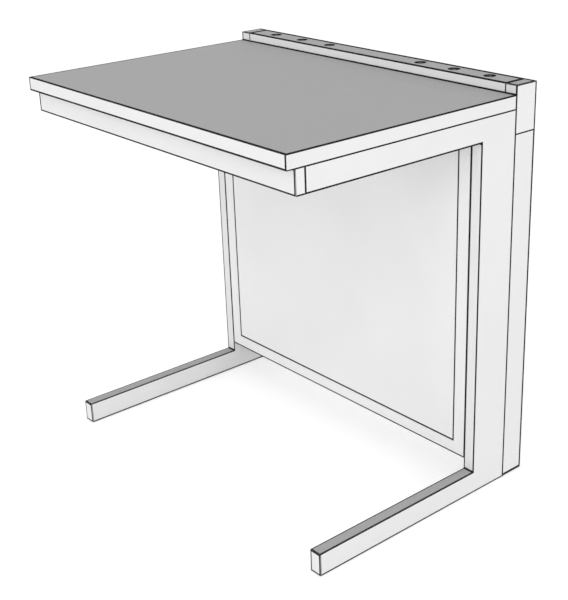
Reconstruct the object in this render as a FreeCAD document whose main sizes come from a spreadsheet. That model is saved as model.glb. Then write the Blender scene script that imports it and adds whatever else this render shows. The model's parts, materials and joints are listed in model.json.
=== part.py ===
import FreeCAD
import Part
import Sketcher
import math
import os
import re

# Wall lab bench: two C-frames carry a laminated worktop, with a service rail on posts behind it.
# +X is to the right, +Y towards the wall and +Z up. The origin is on the floor, under the middle.

SIZES = {
    # whole bench
    "bench_width": 900,
    "worktop_depth": 600,
    "worktop_thickness": 30,
    "knee_height": 800,
    "rail_depth": 60,
    "rail_upstand": 20,
    # fits that all pieces share
    "overrun": 1,
    "fit_clearance": 0.2,
    "round_clearance": 0.08,
    # steel tubes
    "tube_width": 30,
    "tube_wall": 2,
    "tube_radius": 2.5,
    "foot_height": 50,
    "foot_setback": 50,
    "upright_depth": 100,
    "arm_height": 50,
    "apron_depth": 20,
    "apron_setback": 20,
    "cross_depth": 30,
    "cross_height": 50,
    "cross_level": 85,
    # plastic end caps and tread strips
    "cap_flange": 2,
    "cap_insert": 14,
    "tread_thickness": 1,
    "tread_margin": 1,
    # worktop
    "laminate_thickness": 1,
    "backing_thickness": 1,
    "band_thickness": 2,
    # service rail
    "rail_sheet": 2,
    "rail_return": 14,
    "rail_seam": 1,
    "plate_thickness": 4,
    "port_radius": 8,
    "ferrule_wall": 1,
    "ferrule_tail": 10,
    "ferrule_lip": 1.5,
    "ring_width": 2.4,
    "ring_thickness": 1.2,
    # end blocks
    "block_wall": 3,
    "cover_thickness": 1.5,
    "spigot_length": 40,
    "lug_length": 25,
    "lug_root": 10,
    "lug_thickness": 7,
    "lug_height": 44,
    "lug_lift": 6,
    # rear panel
    "panel_gap": 1,
    "panel_floor_gap": 75,
    "panel_top_gap": 3,
    "panel_border": 30,
    "panel_top_border": 15,
    "panel_thickness": 18,
    "panel_ledge": 10,
    "rebate_depth": 8,
    "infill_recess": 0.5,
    "gasket_width": 2,
    "gasket_recess": 1,
    # panel catches
    "catch_inset": 110,
    "catch_standoff": 5,
    "catch_leg": 34,
    "catch_plate": 2,
    "catch_height": 44,
    "catch_screw_offset": 22,
    "catch_screw_pitch": 24,
    "stud_base_radius": 7,
    "stud_base": 2,
    "stud_neck_radius": 2.5,
    "stud_neck": 4,
    "stud_head_radius": 4,
    "stud_head": 4,
    "stud_taper": 2,
    "socket_wall": 1.6,
    "socket_flange_width": 2,
    "socket_flange": 1.5,
    "socket_length": 8,
    # corner brackets
    "bracket_leg": 36,
    "bracket_thickness": 3,
    "bracket_margin": 5,
    "bracket_hole_offset": 22,
    "bracket_hole_pitch": 20,
    # worktop brackets
    "top_bracket_leg": 28,
    "top_bracket_length": 40,
    "top_bracket_hole": 17,
    "top_bracket_front": 110,
    "top_bracket_rear": 130,
    # frame screws
    "screw_radius": 3,
    "screw_length": 14,
    "screw_head_radius": 5.2,
    "screw_head": 3.4,
    "screw_socket_radius": 2.3,
    "screw_socket": 2,
    # worktop screws
    "wood_screw_radius": 2.5,
    "wood_screw_length": 22,
    "wood_head_radius": 4.8,
    "wood_head": 2.6,
    "wood_socket_radius": 2,
    "wood_socket": 1.6,
    # countersunk rail screws
    "sunk_radius": 2,
    "sunk_length": 9,
    "sunk_head_radius": 3.6,
    "sunk_head": 1.6,
    "sunk_pitch": 24,
    # post bolts, their access holes and plugs
    "bolt_radius": 4,
    "bolt_length": 20,
    "bolt_head_radius": 6.5,
    "bolt_head": 8,
    "bolt_socket_radius": 3.4,
    "bolt_socket": 4,
    "bolt_level": 150,
    "bolt_top_margin": 100,
    "access_radius": 9,
    "plug_skirt": 6,
    "plug_wall": 1.2,
    # wall bar
    "bar_thickness": 4,
    "bar_height": 40,
    "bar_drop": 170,
    "bar_tab": 40,
    "bar_screw_offset": 18,
    "bar_screw_pitch": 20,
    "wall_hole_radius": 4.5,
    # levelling feet
    "leveller_front": 45,
    "leveller_rear": 45,
    "pad_radius": 11.5,
    "pad_height": 6,
    "pad_chamfer": 1,
    "pad_floor": 2,
    "pad_clearance": 0.5,
    "pivot_radius": 4.2,
    "spindle_radius": 5,
    "spindle_headroom": 3,
    "collar_radius": 7.5,
    "collar_height": 5,
    "insert_level": 12,
    "insert_height": 10,
    "insert_length": 30,
}

# places that several pieces share
X_OUTER = "(bench_width / 2)"
X_INNER = "(bench_width / 2 - tube_width)"
X_MIDDLE = "(bench_width / 2 - tube_width / 2)"
Y_FRONT = "(-(worktop_depth + rail_depth) / 2)"
Y_RAIL = f"({Y_FRONT} + worktop_depth)"
Y_BACK = f"({Y_RAIL} + rail_depth)"
Y_UPRIGHT = f"({Y_RAIL} - upright_depth)"
Y_APRON = f"({Y_FRONT} + apron_setback)"
Y_ARM = f"({Y_APRON} + apron_depth)"
Y_FOOT = f"({Y_FRONT} + foot_setback)"
Y_CROSS = f"({Y_RAIL} - cross_depth)"
Z_UNDER = "(knee_height + arm_height)"
Z_TOP = f"({Z_UNDER} + worktop_thickness)"
Z_RAIL = f"({Z_TOP} + rail_upstand)"
RAIL_HEIGHT = f"({Z_RAIL} - knee_height)"
PANEL_WIDTH = f"(2 * {X_INNER} - 2 * panel_gap)"
PANEL_HEIGHT = "(knee_height - panel_top_gap - panel_floor_gap)"
PORT_PITCH = "(bench_width / 9)"
PORT_STEPS = (-3.5, -2.5, -1.5, 1.5, 2.5, 3.5)
WALL_HOLE_X = "(bench_width / 3)"
BAR_LEVEL = "(knee_height - bar_drop)"
BOLT_ROWS = 3
SIDES = ("left", "right")
PLANES = {"x": "YZ_Plane", "y": "XZ_Plane", "z": "XY_Plane"}
TURNS = {
    "+x": ((0, 1, 0), 90),
    "-x": ((0, 1, 0), -90),
    "+y": ((1, 0, 0), -90),
    "-y": ((1, 0, 0), 90),
    "+z": ((0, 0, 1), 0),
    "-z": ((1, 0, 0), 180),
}

doc = FreeCAD.newDocument("wall_lab_bench")
sheet = doc.addObject("Spreadsheet::Sheet", "sizes")
for row, (alias, value) in enumerate(SIZES.items(), 1):
    sheet.set(f"A{row}", alias)
    sheet.set(f"B{row}", str(value))
    sheet.setAlias(f"B{row}", alias)
doc.recompute()

nodes = {}
cuts = []


# Expressions, placing and small tools

def formula(text):
    return re.sub(r"[a-z_]+", lambda word: "sizes." + word[0] if word[0] in SIZES else word[0], text)


def bind(item, name, text):
    item.setExpression(name, formula(text))


def worth(text):
    return float(sheet.evalExpression(formula(text)))


def place(item, corner, way="+z"):
    axis, angle = TURNS[way]
    item.Placement = FreeCAD.Placement(FreeCAD.Vector(), FreeCAD.Rotation(FreeCAD.Vector(*axis), angle))
    for axis_name, text in zip("xyz", corner):
        bind(item, f"Placement.Base.{axis_name}", text)


def node(label, item):
    item.Label = label
    nodes[label] = item


def low_x(side, inner, width):
    return inner if side == "right" else f"(-({inner}) - ({width}))"


def at_x(side, distance):
    return distance if side == "right" else f"(-({distance}))"


def inward(side):
    return "-x" if side == "right" else "+x"


def new_body(name):
    return doc.addObject("PartDesign::Body", name)


def new_sketch(body, plane):
    sketch = body.newObject("Sketcher::SketchObject", body.Name + "_sketch")
    origin = next(item for item in body.Origin.OriginFeatures if item.Role == plane)
    sketch.AttachmentSupport = (origin, [""])
    sketch.MapMode = "FlatFace"
    return sketch


def drive(sketch, kind, first, second, text):
    number = sketch.addConstraint(Sketcher.Constraint(kind, *first, *second, worth(text)))
    name = f"size{number}"
    sketch.renameConstraint(number, name)
    bind(sketch, f"Constraints.{name}", text)


def pin_point(sketch, point, u, v):
    for kind, text, axis in (("DistanceX", u, -2), ("DistanceY", v, -1)):
        if text == "0":
            sketch.addConstraint(Sketcher.Constraint("PointOnObject", *point, axis))
        else:
            drive(sketch, kind, (-1, 1), point, text)


def outline(sketch, points):
    first = sketch.GeometryCount
    spots = [FreeCAD.Vector(worth(u), worth(v), 0) for u, v in points]
    for spot, following in zip(spots, spots[1:] + spots[:1]):
        sketch.addGeometry(Part.LineSegment(spot, following), False)
    for number in range(len(points)):
        following = first + (number + 1) % len(points)
        sketch.addConstraint(Sketcher.Constraint("Coincident", first + number, 2, following, 1))
    for number, (u, v) in enumerate(points):
        pin_point(sketch, (first + number, 1), u, v)


def rectangle(sketch, left, bottom, right, top):
    outline(sketch, [(left, bottom), (right, bottom), (right, top), (left, top)])


def rounded_rectangle(sketch, width, height, radius):
    first = sketch.GeometryCount
    wide, high, round_size = worth(width), worth(height), worth(radius)
    far_u, far_v = wide - round_size, high - round_size
    runs = [
        ((round_size, 0), (far_u, 0)),
        ((wide, round_size), (wide, far_v)),
        ((far_u, high), (round_size, high)),
        ((0, far_v), (0, round_size)),
    ]
    for start, end in runs:
        sketch.addGeometry(Part.LineSegment(FreeCAD.Vector(*start, 0), FreeCAD.Vector(*end, 0)), False)
    centres = [(far_u, round_size), (far_u, far_v), (round_size, far_v), (round_size, round_size)]
    for quarter, centre in enumerate(centres, -1):
        circle = Part.Circle(FreeCAD.Vector(*centre, 0), FreeCAD.Vector(0, 0, 1), round_size)
        start = quarter * math.pi / 2
        sketch.addGeometry(Part.ArcOfCircle(circle, start, start + math.pi / 2), False)
    for number in range(4):
        line, arc, following = first + number, first + 4 + number, first + (number + 1) % 4
        sketch.addConstraint(Sketcher.Constraint("Tangent", line, 2, arc, 1))
        sketch.addConstraint(Sketcher.Constraint("Tangent", arc, 2, following, 1))
    for arc in (first + 5, first + 6, first + 7):
        sketch.addConstraint(Sketcher.Constraint("Equal", first + 4, arc))
    sketch.addConstraint(Sketcher.Constraint("Horizontal", first))
    sketch.addConstraint(Sketcher.Constraint("Vertical", first + 1))
    drive(sketch, "Radius", (first + 4,), (), radius)
    sketch.addConstraint(Sketcher.Constraint("PointOnObject", first, 1, -1))
    sketch.addConstraint(Sketcher.Constraint("PointOnObject", first + 3, 1, -2))
    drive(sketch, "DistanceX", (-1, 1), (first + 1, 1), width)
    drive(sketch, "DistanceY", (-1, 1), (first + 2, 1), height)


def circles(sketch, centres, radius):
    for u, v in centres:
        number = sketch.GeometryCount
        middle = FreeCAD.Vector(worth(u), worth(v), 0)
        sketch.addGeometry(Part.Circle(middle, FreeCAD.Vector(0, 0, 1), worth(radius)), False)
        pin_point(sketch, (number, 3), u, v)
        drive(sketch, "Radius", (number,), (), radius)


def pad(body, sketch, length, along):
    feature = body.newObject("PartDesign::Pad", body.Name + "_pad")
    feature.Profile = sketch
    feature.Reversed = along == "y"
    bind(feature, "Length", length)


# Solid makers

def box(name, size, corner):
    solid = doc.addObject("Part::Box", name)
    for side, text in zip(("Length", "Width", "Height"), size):
        bind(solid, side, text)
    place(solid, corner)
    return solid


def rod(name, radius, length, start, way):
    solid = doc.addObject("Part::Cylinder", name)
    bind(solid, "Radius", radius)
    bind(solid, "Height", length)
    place(solid, start, way)
    return solid


def wall_hole(name, radius, wall, spot, along):
    start = list(spot)
    start["xyz".index(along)] += " - overrun"
    return rod(name, radius, f"{wall} + 2 * overrun", start, "+" + along)


def extrusion(name, points, along, length, corner):
    body = new_body(name)
    sketch = new_sketch(body, PLANES[along])
    outline(sketch, points)
    pad(body, sketch, length, along)
    place(body, corner)
    return body


def tube(name, along, width, height, length, corner):
    body = new_body(name)
    sketch = new_sketch(body, PLANES[along])
    rounded_rectangle(sketch, width, height, "tube_radius")
    rectangle(sketch, "tube_wall", "tube_wall", f"{width} - tube_wall", f"{height} - tube_wall")
    pad(body, sketch, length, along)
    place(body, corner)
    return body


def turned(name, points):
    body = new_body(name)
    sketch = new_sketch(body, "XZ_Plane")
    outline(sketch, points)
    feature = body.newObject("PartDesign::Revolution", name + "_turn")
    feature.Profile = sketch
    feature.ReferenceAxis = (sketch, ["V_Axis"])
    feature.Angle = 360
    return body


def joined(name, parts):
    whole = doc.addObject("Part::MultiFuse", name)
    whole.Shapes = parts
    return whole


def drilled(name, blank, tools):
    cutter = tools[0] if len(tools) == 1 else joined(name + "_drill", tools)
    cut = doc.addObject("Part::Cut", name)
    cut.Base = blank
    cut.Tool = cutter
    cuts.append((cut, blank))
    return cut


def group(name, parts):
    whole = doc.addObject("Part::Compound", name)
    whole.Links = parts
    return whole


def copies(name, master, places):
    links = []
    for number, (way, spot) in enumerate(places, 1):
        link = doc.addObject("App::Link", f"{name}_{number}")
        link.LinkedObject = master
        link.LinkTransform = False
        place(link, spot, way)
        links.append(link)
    return group(name, links)


def back_from(way, spot, length):
    start = list(spot)
    sign = "-" if way[0] == "+" else "+"
    start["xyz".index(way[1])] += f" {sign} {length}"
    return way, start


def angle_outline(leg, thickness, corner_u, corner_v):
    turned_leg = {"0": leg, thickness: f"{leg} - {thickness}", leg: "0"}
    points = [("0", "0"), (leg, "0"), (leg, thickness), (thickness, thickness), (thickness, leg), ("0", leg)]
    return [(turned_leg[u] if corner_u else u, turned_leg[v] if corner_v else v) for u, v in points]


def socket_screw(name, radius, length, head_radius, head, socket_radius, socket):
    top = f"{length} + {head}"
    shank = [("0", "0"), (radius, "0"), (radius, length)]
    points = [*shank, (head_radius, length), (head_radius, top), ("0", top)]
    hexagon = doc.addObject("Part::Prism", name + "_socket")
    hexagon.Polygon = 6
    bind(hexagon, "Circumradius", socket_radius)
    bind(hexagon, "Height", f"{socket} + overrun")
    place(hexagon, ("0", "0", f"{top} - {socket}"))
    return drilled(name, turned(name + "_blank", points), [hexagon])


frame_screw = socket_screw(
    "frame_screw", "screw_radius", "screw_length", "screw_head_radius", "screw_head",
    "screw_socket_radius", "screw_socket",
)
frame_screw_places = []
SCREW_HOLE = "screw_radius + round_clearance"


def frame_screw_at(way, spot):
    frame_screw_places.append(back_from(way, spot, "screw_length"))


def inner_wall_hole(name, side, y, z):
    return wall_hole(name, SCREW_HOLE, "tube_wall", (low_x(side, X_INNER, "tube_wall"), y, z), "x")


# Corner brackets: where each stands, and the screw places that they share with the tubes

BRACKETS = {
    "apron": (Y_ARM, "knee_height", "arm_height", "+y"),
    "upper_rail": (Y_CROSS, "knee_height", "arm_height", "-y"),
    "lower_rail": (Y_CROSS, "cross_level", "cross_height", "-y"),
}


def bracket_levels(kind):
    low, height = BRACKETS[kind][1:3]
    middle = f"{low} + {height} / 2"
    return [f"{middle} - bracket_hole_pitch / 2", f"{middle} + bracket_hole_pitch / 2"]


def bracket_frame_y(kind):
    corner, way = BRACKETS[kind][0], BRACKETS[kind][3]
    return f"{corner} {way[0]} bracket_hole_offset"


def corner_brackets(kind):
    corner, low, height, way = BRACKETS[kind]
    pair = []
    for side in SIDES:
        name = f"{side}_{kind}_bracket"
        points = angle_outline("bracket_leg", "bracket_thickness", side == "right", way == "-y")
        start = corner if way == "+y" else f"{corner} - bracket_leg"
        blank = extrusion(name + "_blank", points, "z", f"{height} - 2 * bracket_margin",
                          (low_x(side, f"{X_INNER} - bracket_leg", "bracket_leg"), start,
                           f"{low} + bracket_margin"))
        across = at_x(side, f"{X_INNER} - bracket_hole_offset")
        seat_x = at_x(side, f"{X_INNER} - bracket_thickness")
        seat_y = f"{corner} {way[0]} bracket_thickness"
        leg_y = corner if way == "+y" else seat_y
        leg_x = low_x(side, f"{X_INNER} - bracket_thickness", "bracket_thickness")
        holes = []
        for number, level in enumerate(bracket_levels(kind), 1):
            holes.append(wall_hole(f"{name}_cross_hole_{number}", SCREW_HOLE, "bracket_thickness",
                                   (across, leg_y, level), "y"))
            holes.append(wall_hole(f"{name}_frame_hole_{number}", SCREW_HOLE, "bracket_thickness",
                                   (leg_x, bracket_frame_y(kind), level), "x"))
            frame_screw_at(way, (across, seat_y, level))
            frame_screw_at(inward(side), (seat_x, bracket_frame_y(kind), level))
        pair.append(drilled(name, blank, holes))
    node(f"{kind}_brackets", group(f"{kind}_brackets", pair))


def cross_tube(label, kind, depth, height, length, corner, wall_y):
    blank = tube(label + "_blank", "x", depth, height, length, corner)
    holes = []
    for side in SIDES:
        across = at_x(side, f"{X_INNER} - bracket_hole_offset")
        for number, level in enumerate(bracket_levels(kind), 1):
            holes.append(wall_hole(f"{label}_{side}_hole_{number}", SCREW_HOLE, "tube_wall",
                                   (across, wall_y, level), "y"))
    node(label, drilled(label, blank, holes))


# Worktop brackets under the worktop, on the arms

TOP_BRACKETS = {
    "front": f"({Y_ARM} + top_bracket_front)",
    "rear": f"({Y_RAIL} - top_bracket_rear)",
}
TOP_SCREW_LEVEL = f"({Z_UNDER} - top_bracket_hole)"
TOP_SCREW_X = f"({X_INNER} - top_bracket_hole)"
WOOD_HOLE = "wood_screw_radius + round_clearance"


def worktop_brackets():
    parts = []
    for side in SIDES:
        for row, middle in TOP_BRACKETS.items():
            name = f"{side}_{row}_worktop_bracket"
            points = angle_outline("top_bracket_leg", "bracket_thickness", side == "right", True)
            corner = (low_x(side, f"{X_INNER} - top_bracket_leg", "top_bracket_leg"),
                      f"{middle} - top_bracket_length / 2", f"{Z_UNDER} - top_bracket_leg")
            blank = extrusion(name + "_blank", points, "y", "top_bracket_length", corner)
            leg_x = low_x(side, f"{X_INNER} - bracket_thickness", "bracket_thickness")
            side_hole = wall_hole(name + "_side_hole", SCREW_HOLE, "bracket_thickness",
                                  (leg_x, middle, TOP_SCREW_LEVEL), "x")
            top_spot = (at_x(side, TOP_SCREW_X), middle, f"{Z_UNDER} - bracket_thickness")
            top_hole = wall_hole(name + "_top_hole", WOOD_HOLE, "bracket_thickness", top_spot, "z")
            seat_x = at_x(side, f"{X_INNER} - bracket_thickness")
            frame_screw_at(inward(side), (seat_x, middle, TOP_SCREW_LEVEL))
            parts.append(drilled(name, blank, [side_hole, top_hole]))
    node("worktop_brackets", group("worktop_brackets", parts))


# C-frames: foot, upright and arm tubes on each side

LEVELLERS = {"front": f"({Y_FOOT} + leveller_front)", "rear": f"({Y_RAIL} - leveller_rear)"}
CATCH_LEVELS = {
    "lower": "(panel_floor_gap + catch_inset)",
    "upper": "(knee_height - panel_top_gap - catch_inset)",
}
Y_CATCH = f"({Y_UPRIGHT} + panel_thickness + catch_standoff)"


def catch_screw_levels(row):
    middle = CATCH_LEVELS[row]
    return [f"{middle} - catch_screw_pitch / 2", f"{middle} + catch_screw_pitch / 2"]


def bolt_levels():
    pitch = f"(knee_height - bolt_top_margin - bolt_level) / {BOLT_ROWS - 1}"
    return [f"bolt_level + {number} * {pitch}" for number in range(BOLT_ROWS)]


def foot_tube(side):
    label = f"{side}_foot_tube"
    start = f"{Y_FOOT} + cap_flange"
    blank = tube(label + "_blank", "y", "tube_width", "foot_height", f"{Y_RAIL} - ({start})",
                 (low_x(side, X_INNER, "tube_width"), start, "0"))
    holes = [
        wall_hole(f"{label}_{row}_pad_hole", "pad_radius + pad_clearance", "tube_wall",
                  (at_x(side, X_MIDDLE), middle, "0"), "z")
        for row, middle in LEVELLERS.items()
    ]
    node(label, drilled(label, blank, holes))


def upright_tube(side):
    label = f"{side}_upright_tube"
    blank = tube(label + "_blank", "z", "tube_width", "upright_depth", "knee_height - foot_height",
                 (low_x(side, X_INNER, "tube_width"), Y_UPRIGHT, "foot_height"))
    holes = [inner_wall_hole(f"{label}_rail_hole_{number}", side, bracket_frame_y("lower_rail"), level)
             for number, level in enumerate(bracket_levels("lower_rail"), 1)]
    for row in CATCH_LEVELS:
        for number, level in enumerate(catch_screw_levels(row), 1):
            holes.append(inner_wall_hole(f"{label}_{row}_catch_hole_{number}", side,
                                         f"{Y_CATCH} + catch_screw_offset", level))
    for number, level in enumerate(bolt_levels(), 1):
        holes.append(wall_hole(f"{label}_bolt_hole_{number}", "bolt_radius + round_clearance", "tube_wall",
                               (at_x(side, X_MIDDLE), f"{Y_RAIL} - tube_wall", level), "y"))
    node(label, drilled(label, blank, holes))


def arm_tube(side):
    label = f"{side}_arm_tube"
    blank = tube(label + "_blank", "y", "tube_width", "arm_height", f"{Y_RAIL} - {Y_ARM}",
                 (low_x(side, X_INNER, "tube_width"), Y_ARM, "knee_height"))
    holes = []
    for kind in ("apron", "upper_rail"):
        for number, level in enumerate(bracket_levels(kind), 1):
            holes.append(inner_wall_hole(f"{label}_{kind}_hole_{number}", side, bracket_frame_y(kind), level))
    for row, middle in TOP_BRACKETS.items():
        holes.append(inner_wall_hole(f"{label}_{row}_top_hole", side, middle, TOP_SCREW_LEVEL))
    node(label, drilled(label, blank, holes))


def end_cap(name, along, width, height, corner, into):
    flange = new_body(name + "_flange")
    sketch = new_sketch(flange, PLANES[along])
    rounded_rectangle(sketch, width, height, "tube_radius")
    pad(flange, sketch, "cap_flange", along)
    place(flange, corner)
    inset = "tube_wall + fit_clearance"
    size = [f"{width} - 2 * ({inset})", f"{height} - 2 * ({inset})"]
    start = list(corner)
    number = "xyz".index(along)
    size.insert(number, "cap_insert")
    for other in {0, 1, 2} - {number}:
        start[other] += f" + {inset}"
    start[number] += " + cap_flange" if into == "+" else " - cap_insert"
    return joined(name, [flange, box(name + "_insert", size, start)])


def foot_dressing(side):
    corner_x = low_x(side, X_INNER, "tube_width")
    cap = end_cap(f"{side}_foot_cap", "y", "tube_width", "foot_height", (corner_x, Y_FOOT, "0"), "+")
    tread = box(f"{side}_foot_tread",
                ("tube_width - 2 * tread_margin", f"{Y_UPRIGHT} - {Y_FOOT}", "tread_thickness"),
                (f"{corner_x} + tread_margin", Y_FOOT, "foot_height"))
    node(f"{side}_foot_tread", tread)
    return cap


# Apron and cross rails

def apron():
    low = f"-{X_OUTER} + cap_flange"
    cross_tube("front_apron", "apron", "apron_depth", "arm_height", "bench_width - 2 * cap_flange",
               (low, Y_APRON, "knee_height"), f"{Y_ARM} - tube_wall")
    caps = []
    for side, x, into in (("left", f"-{X_OUTER}", "+"), ("right", f"{X_OUTER} - cap_flange", "-")):
        caps.append(end_cap(f"{side}_apron_cap", "x", "apron_depth", "arm_height",
                            (x, Y_APRON, "knee_height"), into))
    node("apron_caps", group("apron_caps", caps))


def cross_rails():
    for label, kind in (("upper_cross_rail", "upper_rail"), ("lower_cross_rail", "lower_rail")):
        y, low, height = BRACKETS[kind][:3]
        cross_tube(label, kind, "cross_depth", height, f"2 * {X_INNER}", (f"-{X_INNER}", y, low), y)


# Worktop: core between two laminates, with bands on its four edges

def worktop():
    core_low = f"{Z_UNDER} + backing_thickness"
    core_top = f"{Z_TOP} - laminate_thickness"
    inside = ("bench_width - 2 * band_thickness", "worktop_depth - 2 * band_thickness")
    start = (f"-{X_OUTER} + band_thickness", f"{Y_FRONT} + band_thickness")
    core = box("worktop_core_blank", (*inside, f"{core_top} - ({core_low})"), (*start, core_low))
    backing = box("worktop_backing_blank", (*inside, "backing_thickness"), (*start, Z_UNDER))
    core_holes, backing_holes, screw_places = [], [], []
    depth = "wood_screw_length - bracket_thickness - backing_thickness + fit_clearance"
    for side in SIDES:
        for row, middle in TOP_BRACKETS.items():
            spot = (at_x(side, TOP_SCREW_X), middle)
            core_holes.append(rod(f"core_{side}_{row}_hole", WOOD_HOLE, f"{depth} + overrun",
                                  (*spot, f"{core_low} - overrun"), "+z"))
            backing_holes.append(wall_hole(f"backing_{side}_{row}_hole", WOOD_HOLE, "backing_thickness",
                                           (*spot, Z_UNDER), "z"))
            seat = (*spot, f"{Z_UNDER} - bracket_thickness")
            screw_places.append(back_from("-z", seat, "wood_screw_length"))
    node("worktop_core", drilled("worktop_core", core, core_holes))
    node("worktop_backing", drilled("worktop_backing", backing, backing_holes))
    laminate = box("worktop_laminate", ("bench_width", "worktop_depth", "laminate_thickness"),
                   (f"-{X_OUTER}", Y_FRONT, core_top))
    node("worktop_laminate", laminate)
    band_height = "worktop_thickness - laminate_thickness"
    for row, y in (("front", Y_FRONT), ("rear", f"{Y_RAIL} - band_thickness")):
        band = box(f"{row}_edge_band", ("bench_width", "band_thickness", band_height),
                   (f"-{X_OUTER}", y, Z_UNDER))
        node(f"{row}_edge_band", band)
    for side in SIDES:
        band = box(f"{side}_edge_band", ("band_thickness", inside[1], band_height),
                   (low_x(side, f"{X_OUTER} - band_thickness", "band_thickness"), start[1], Z_UNDER))
        node(f"{side}_edge_band", band)
    screw = socket_screw("worktop_screw", "wood_screw_radius", "wood_screw_length", "wood_head_radius",
                         "wood_head", "wood_socket_radius", "wood_socket")
    node("worktop_screws", copies("worktop_screws", screw, screw_places))


# Rear posts, their bolts, plugs and end caps

Y_BAR_SCREW = f"({Y_BACK} - bar_tab + bar_screw_offset)"


def bar_screw_levels():
    middle = f"{BAR_LEVEL} + bar_height / 2"
    return [f"{middle} - bar_screw_pitch / 2", f"{middle} + bar_screw_pitch / 2"]


def rear_post(side):
    label = f"{side}_rear_post"
    corner_x = low_x(side, X_INNER, "tube_width")
    blank = tube(label + "_blank", "z", "tube_width", "rail_depth", "knee_height - cap_flange",
                 (corner_x, Y_RAIL, "cap_flange"))
    middle = at_x(side, X_MIDDLE)
    holes = []
    for number, level in enumerate(bolt_levels(), 1):
        holes.append(wall_hole(f"{label}_bolt_hole_{number}", "bolt_radius + round_clearance", "tube_wall",
                               (middle, Y_RAIL, level), "y"))
        holes.append(wall_hole(f"{label}_access_hole_{number}", "access_radius", "tube_wall",
                               (middle, f"{Y_BACK} - tube_wall", level), "y"))
    for number, level in enumerate(bar_screw_levels(), 1):
        holes.append(inner_wall_hole(f"{label}_bar_hole_{number}", side, Y_BAR_SCREW, level))
    node(label, drilled(label, blank, holes))
    return end_cap(f"{side}_post_cap", "z", "tube_width", "rail_depth", (corner_x, Y_RAIL, "0"), "+")


def post_fasteners():
    bolt = socket_screw("post_bolt", "bolt_radius", "bolt_length", "bolt_head_radius", "bolt_head",
                        "bolt_socket_radius", "bolt_socket")
    outer = "access_radius - round_clearance"
    skirt = f"{outer} - plug_wall"
    deep = "plug_skirt + tube_wall"
    plug = turned("post_plug", [("0", "plug_skirt"), (f"{skirt} - plug_wall", "plug_skirt"),
                                (f"{skirt} - plug_wall", "0"), (skirt, "0"), (skirt, "plug_skirt"),
                                (outer, "plug_skirt"), (outer, deep), ("0", deep)])
    bolt_places, plug_places = [], []
    for side in SIDES:
        for level in bolt_levels():
            middle = at_x(side, X_MIDDLE)
            bolt_places.append(back_from("+y", (middle, f"{Y_RAIL} + tube_wall", level), "bolt_length"))
            plug_places.append(back_from("+y", (middle, Y_BACK, level), f"({deep})"))
    node("post_bolts", copies("post_bolts", bolt, bolt_places))
    node("post_plugs", copies("post_plugs", plug, plug_places))


def wall_bar():
    length, tab, thick = f"2 * {X_INNER}", "bar_tab", "bar_thickness"
    inner_face, far_tab = f"{tab} - {thick}", f"{length} - {thick}"
    points = [("0", "0"), (thick, "0"), (thick, inner_face), (far_tab, inner_face), (far_tab, "0"),
              (length, "0"), (length, tab), ("0", tab)]
    corner = (f"-{X_INNER}", f"{Y_BACK} - bar_tab", BAR_LEVEL)
    blank = extrusion("wall_bar_blank", points, "z", "bar_height", corner)
    holes = []
    for side in SIDES:
        holes.append(wall_hole(f"{side}_wall_hole", "wall_hole_radius", "bar_thickness",
                               (at_x(side, WALL_HOLE_X), f"{Y_BACK} - bar_thickness",
                                f"{BAR_LEVEL} + bar_height / 2"), "y"))
        tab_x = low_x(side, f"{X_INNER} - bar_thickness", "bar_thickness")
        for number, level in enumerate(bar_screw_levels(), 1):
            holes.append(wall_hole(f"{side}_bar_hole_{number}", SCREW_HOLE, "bar_thickness",
                                   (tab_x, Y_BAR_SCREW, level), "x"))
            frame_screw_at(inward(side), (at_x(side, f"{X_INNER} - bar_thickness"), Y_BAR_SCREW, level))
    node("wall_bar", drilled("wall_bar", blank, holes))


# Service rail: fascia, back and port plate between two end blocks

RAIL_LENGTH = f"(2 * {X_INNER} - 2 * rail_seam)"
RAIL_LOW = f"(-{X_INNER} + rail_seam)"
SUNK_MIDDLE = "(knee_height + lug_lift + lug_height / 2)"
SUNK_X = f"({X_INNER} - lug_length / 2)"
SUNK_LEVELS = [f"{SUNK_MIDDLE} - sunk_pitch / 2", f"{SUNK_MIDDLE} + sunk_pitch / 2"]
RAIL_FACES = {"fascia": ("-y", Y_RAIL), "back": ("+y", Y_BACK)}


def sunk_hole(name, way, spot):
    cone = doc.addObject("Part::Cone", name + "_sink")
    bind(cone, "Radius1", "sunk_radius + round_clearance")
    bind(cone, "Radius2", "sunk_head_radius + round_clearance")
    bind(cone, "Height", "sunk_head")
    place(cone, back_from(way, spot, "sunk_head")[1], way)
    start = list(spot)
    start[1] += " - rail_sheet - overrun" if way == "+y" else " - overrun"
    drill = rod(name + "_drill", "sunk_radius + round_clearance", "rail_sheet + 2 * overrun", start, "+y")
    return [cone, drill]


def rail_profiles():
    shelf = f"{RAIL_HEIGHT} - plate_thickness"
    under = f"{shelf} - rail_sheet"
    inside = "rail_return - rail_sheet"
    fascia = [("0", "0"), ("rail_sheet", "0"), ("rail_sheet", under), ("rail_return", under),
              ("rail_return", shelf), ("rail_sheet", shelf), ("rail_sheet", RAIL_HEIGHT), ("0", RAIL_HEIGHT)]
    back = [(inside, "0"), ("rail_return", "0"), ("rail_return", RAIL_HEIGHT), (inside, RAIL_HEIGHT),
            (inside, shelf), ("0", shelf), ("0", under), (inside, under)]
    return {"fascia": (fascia, Y_RAIL), "back": (back, f"{Y_BACK} - rail_return")}


def rail_walls():
    for kind, (points, y) in rail_profiles().items():
        label = f"rail_{kind}"
        way, face = RAIL_FACES[kind]
        blank = extrusion(label + "_blank", points, "x", RAIL_LENGTH, (RAIL_LOW, y, "knee_height"))
        tools = []
        for side in SIDES:
            for number, level in enumerate(SUNK_LEVELS, 1):
                tools += sunk_hole(f"{label}_{side}_{number}", way, (at_x(side, SUNK_X), face, level))
        node(label, drilled(label, blank, tools))


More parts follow.
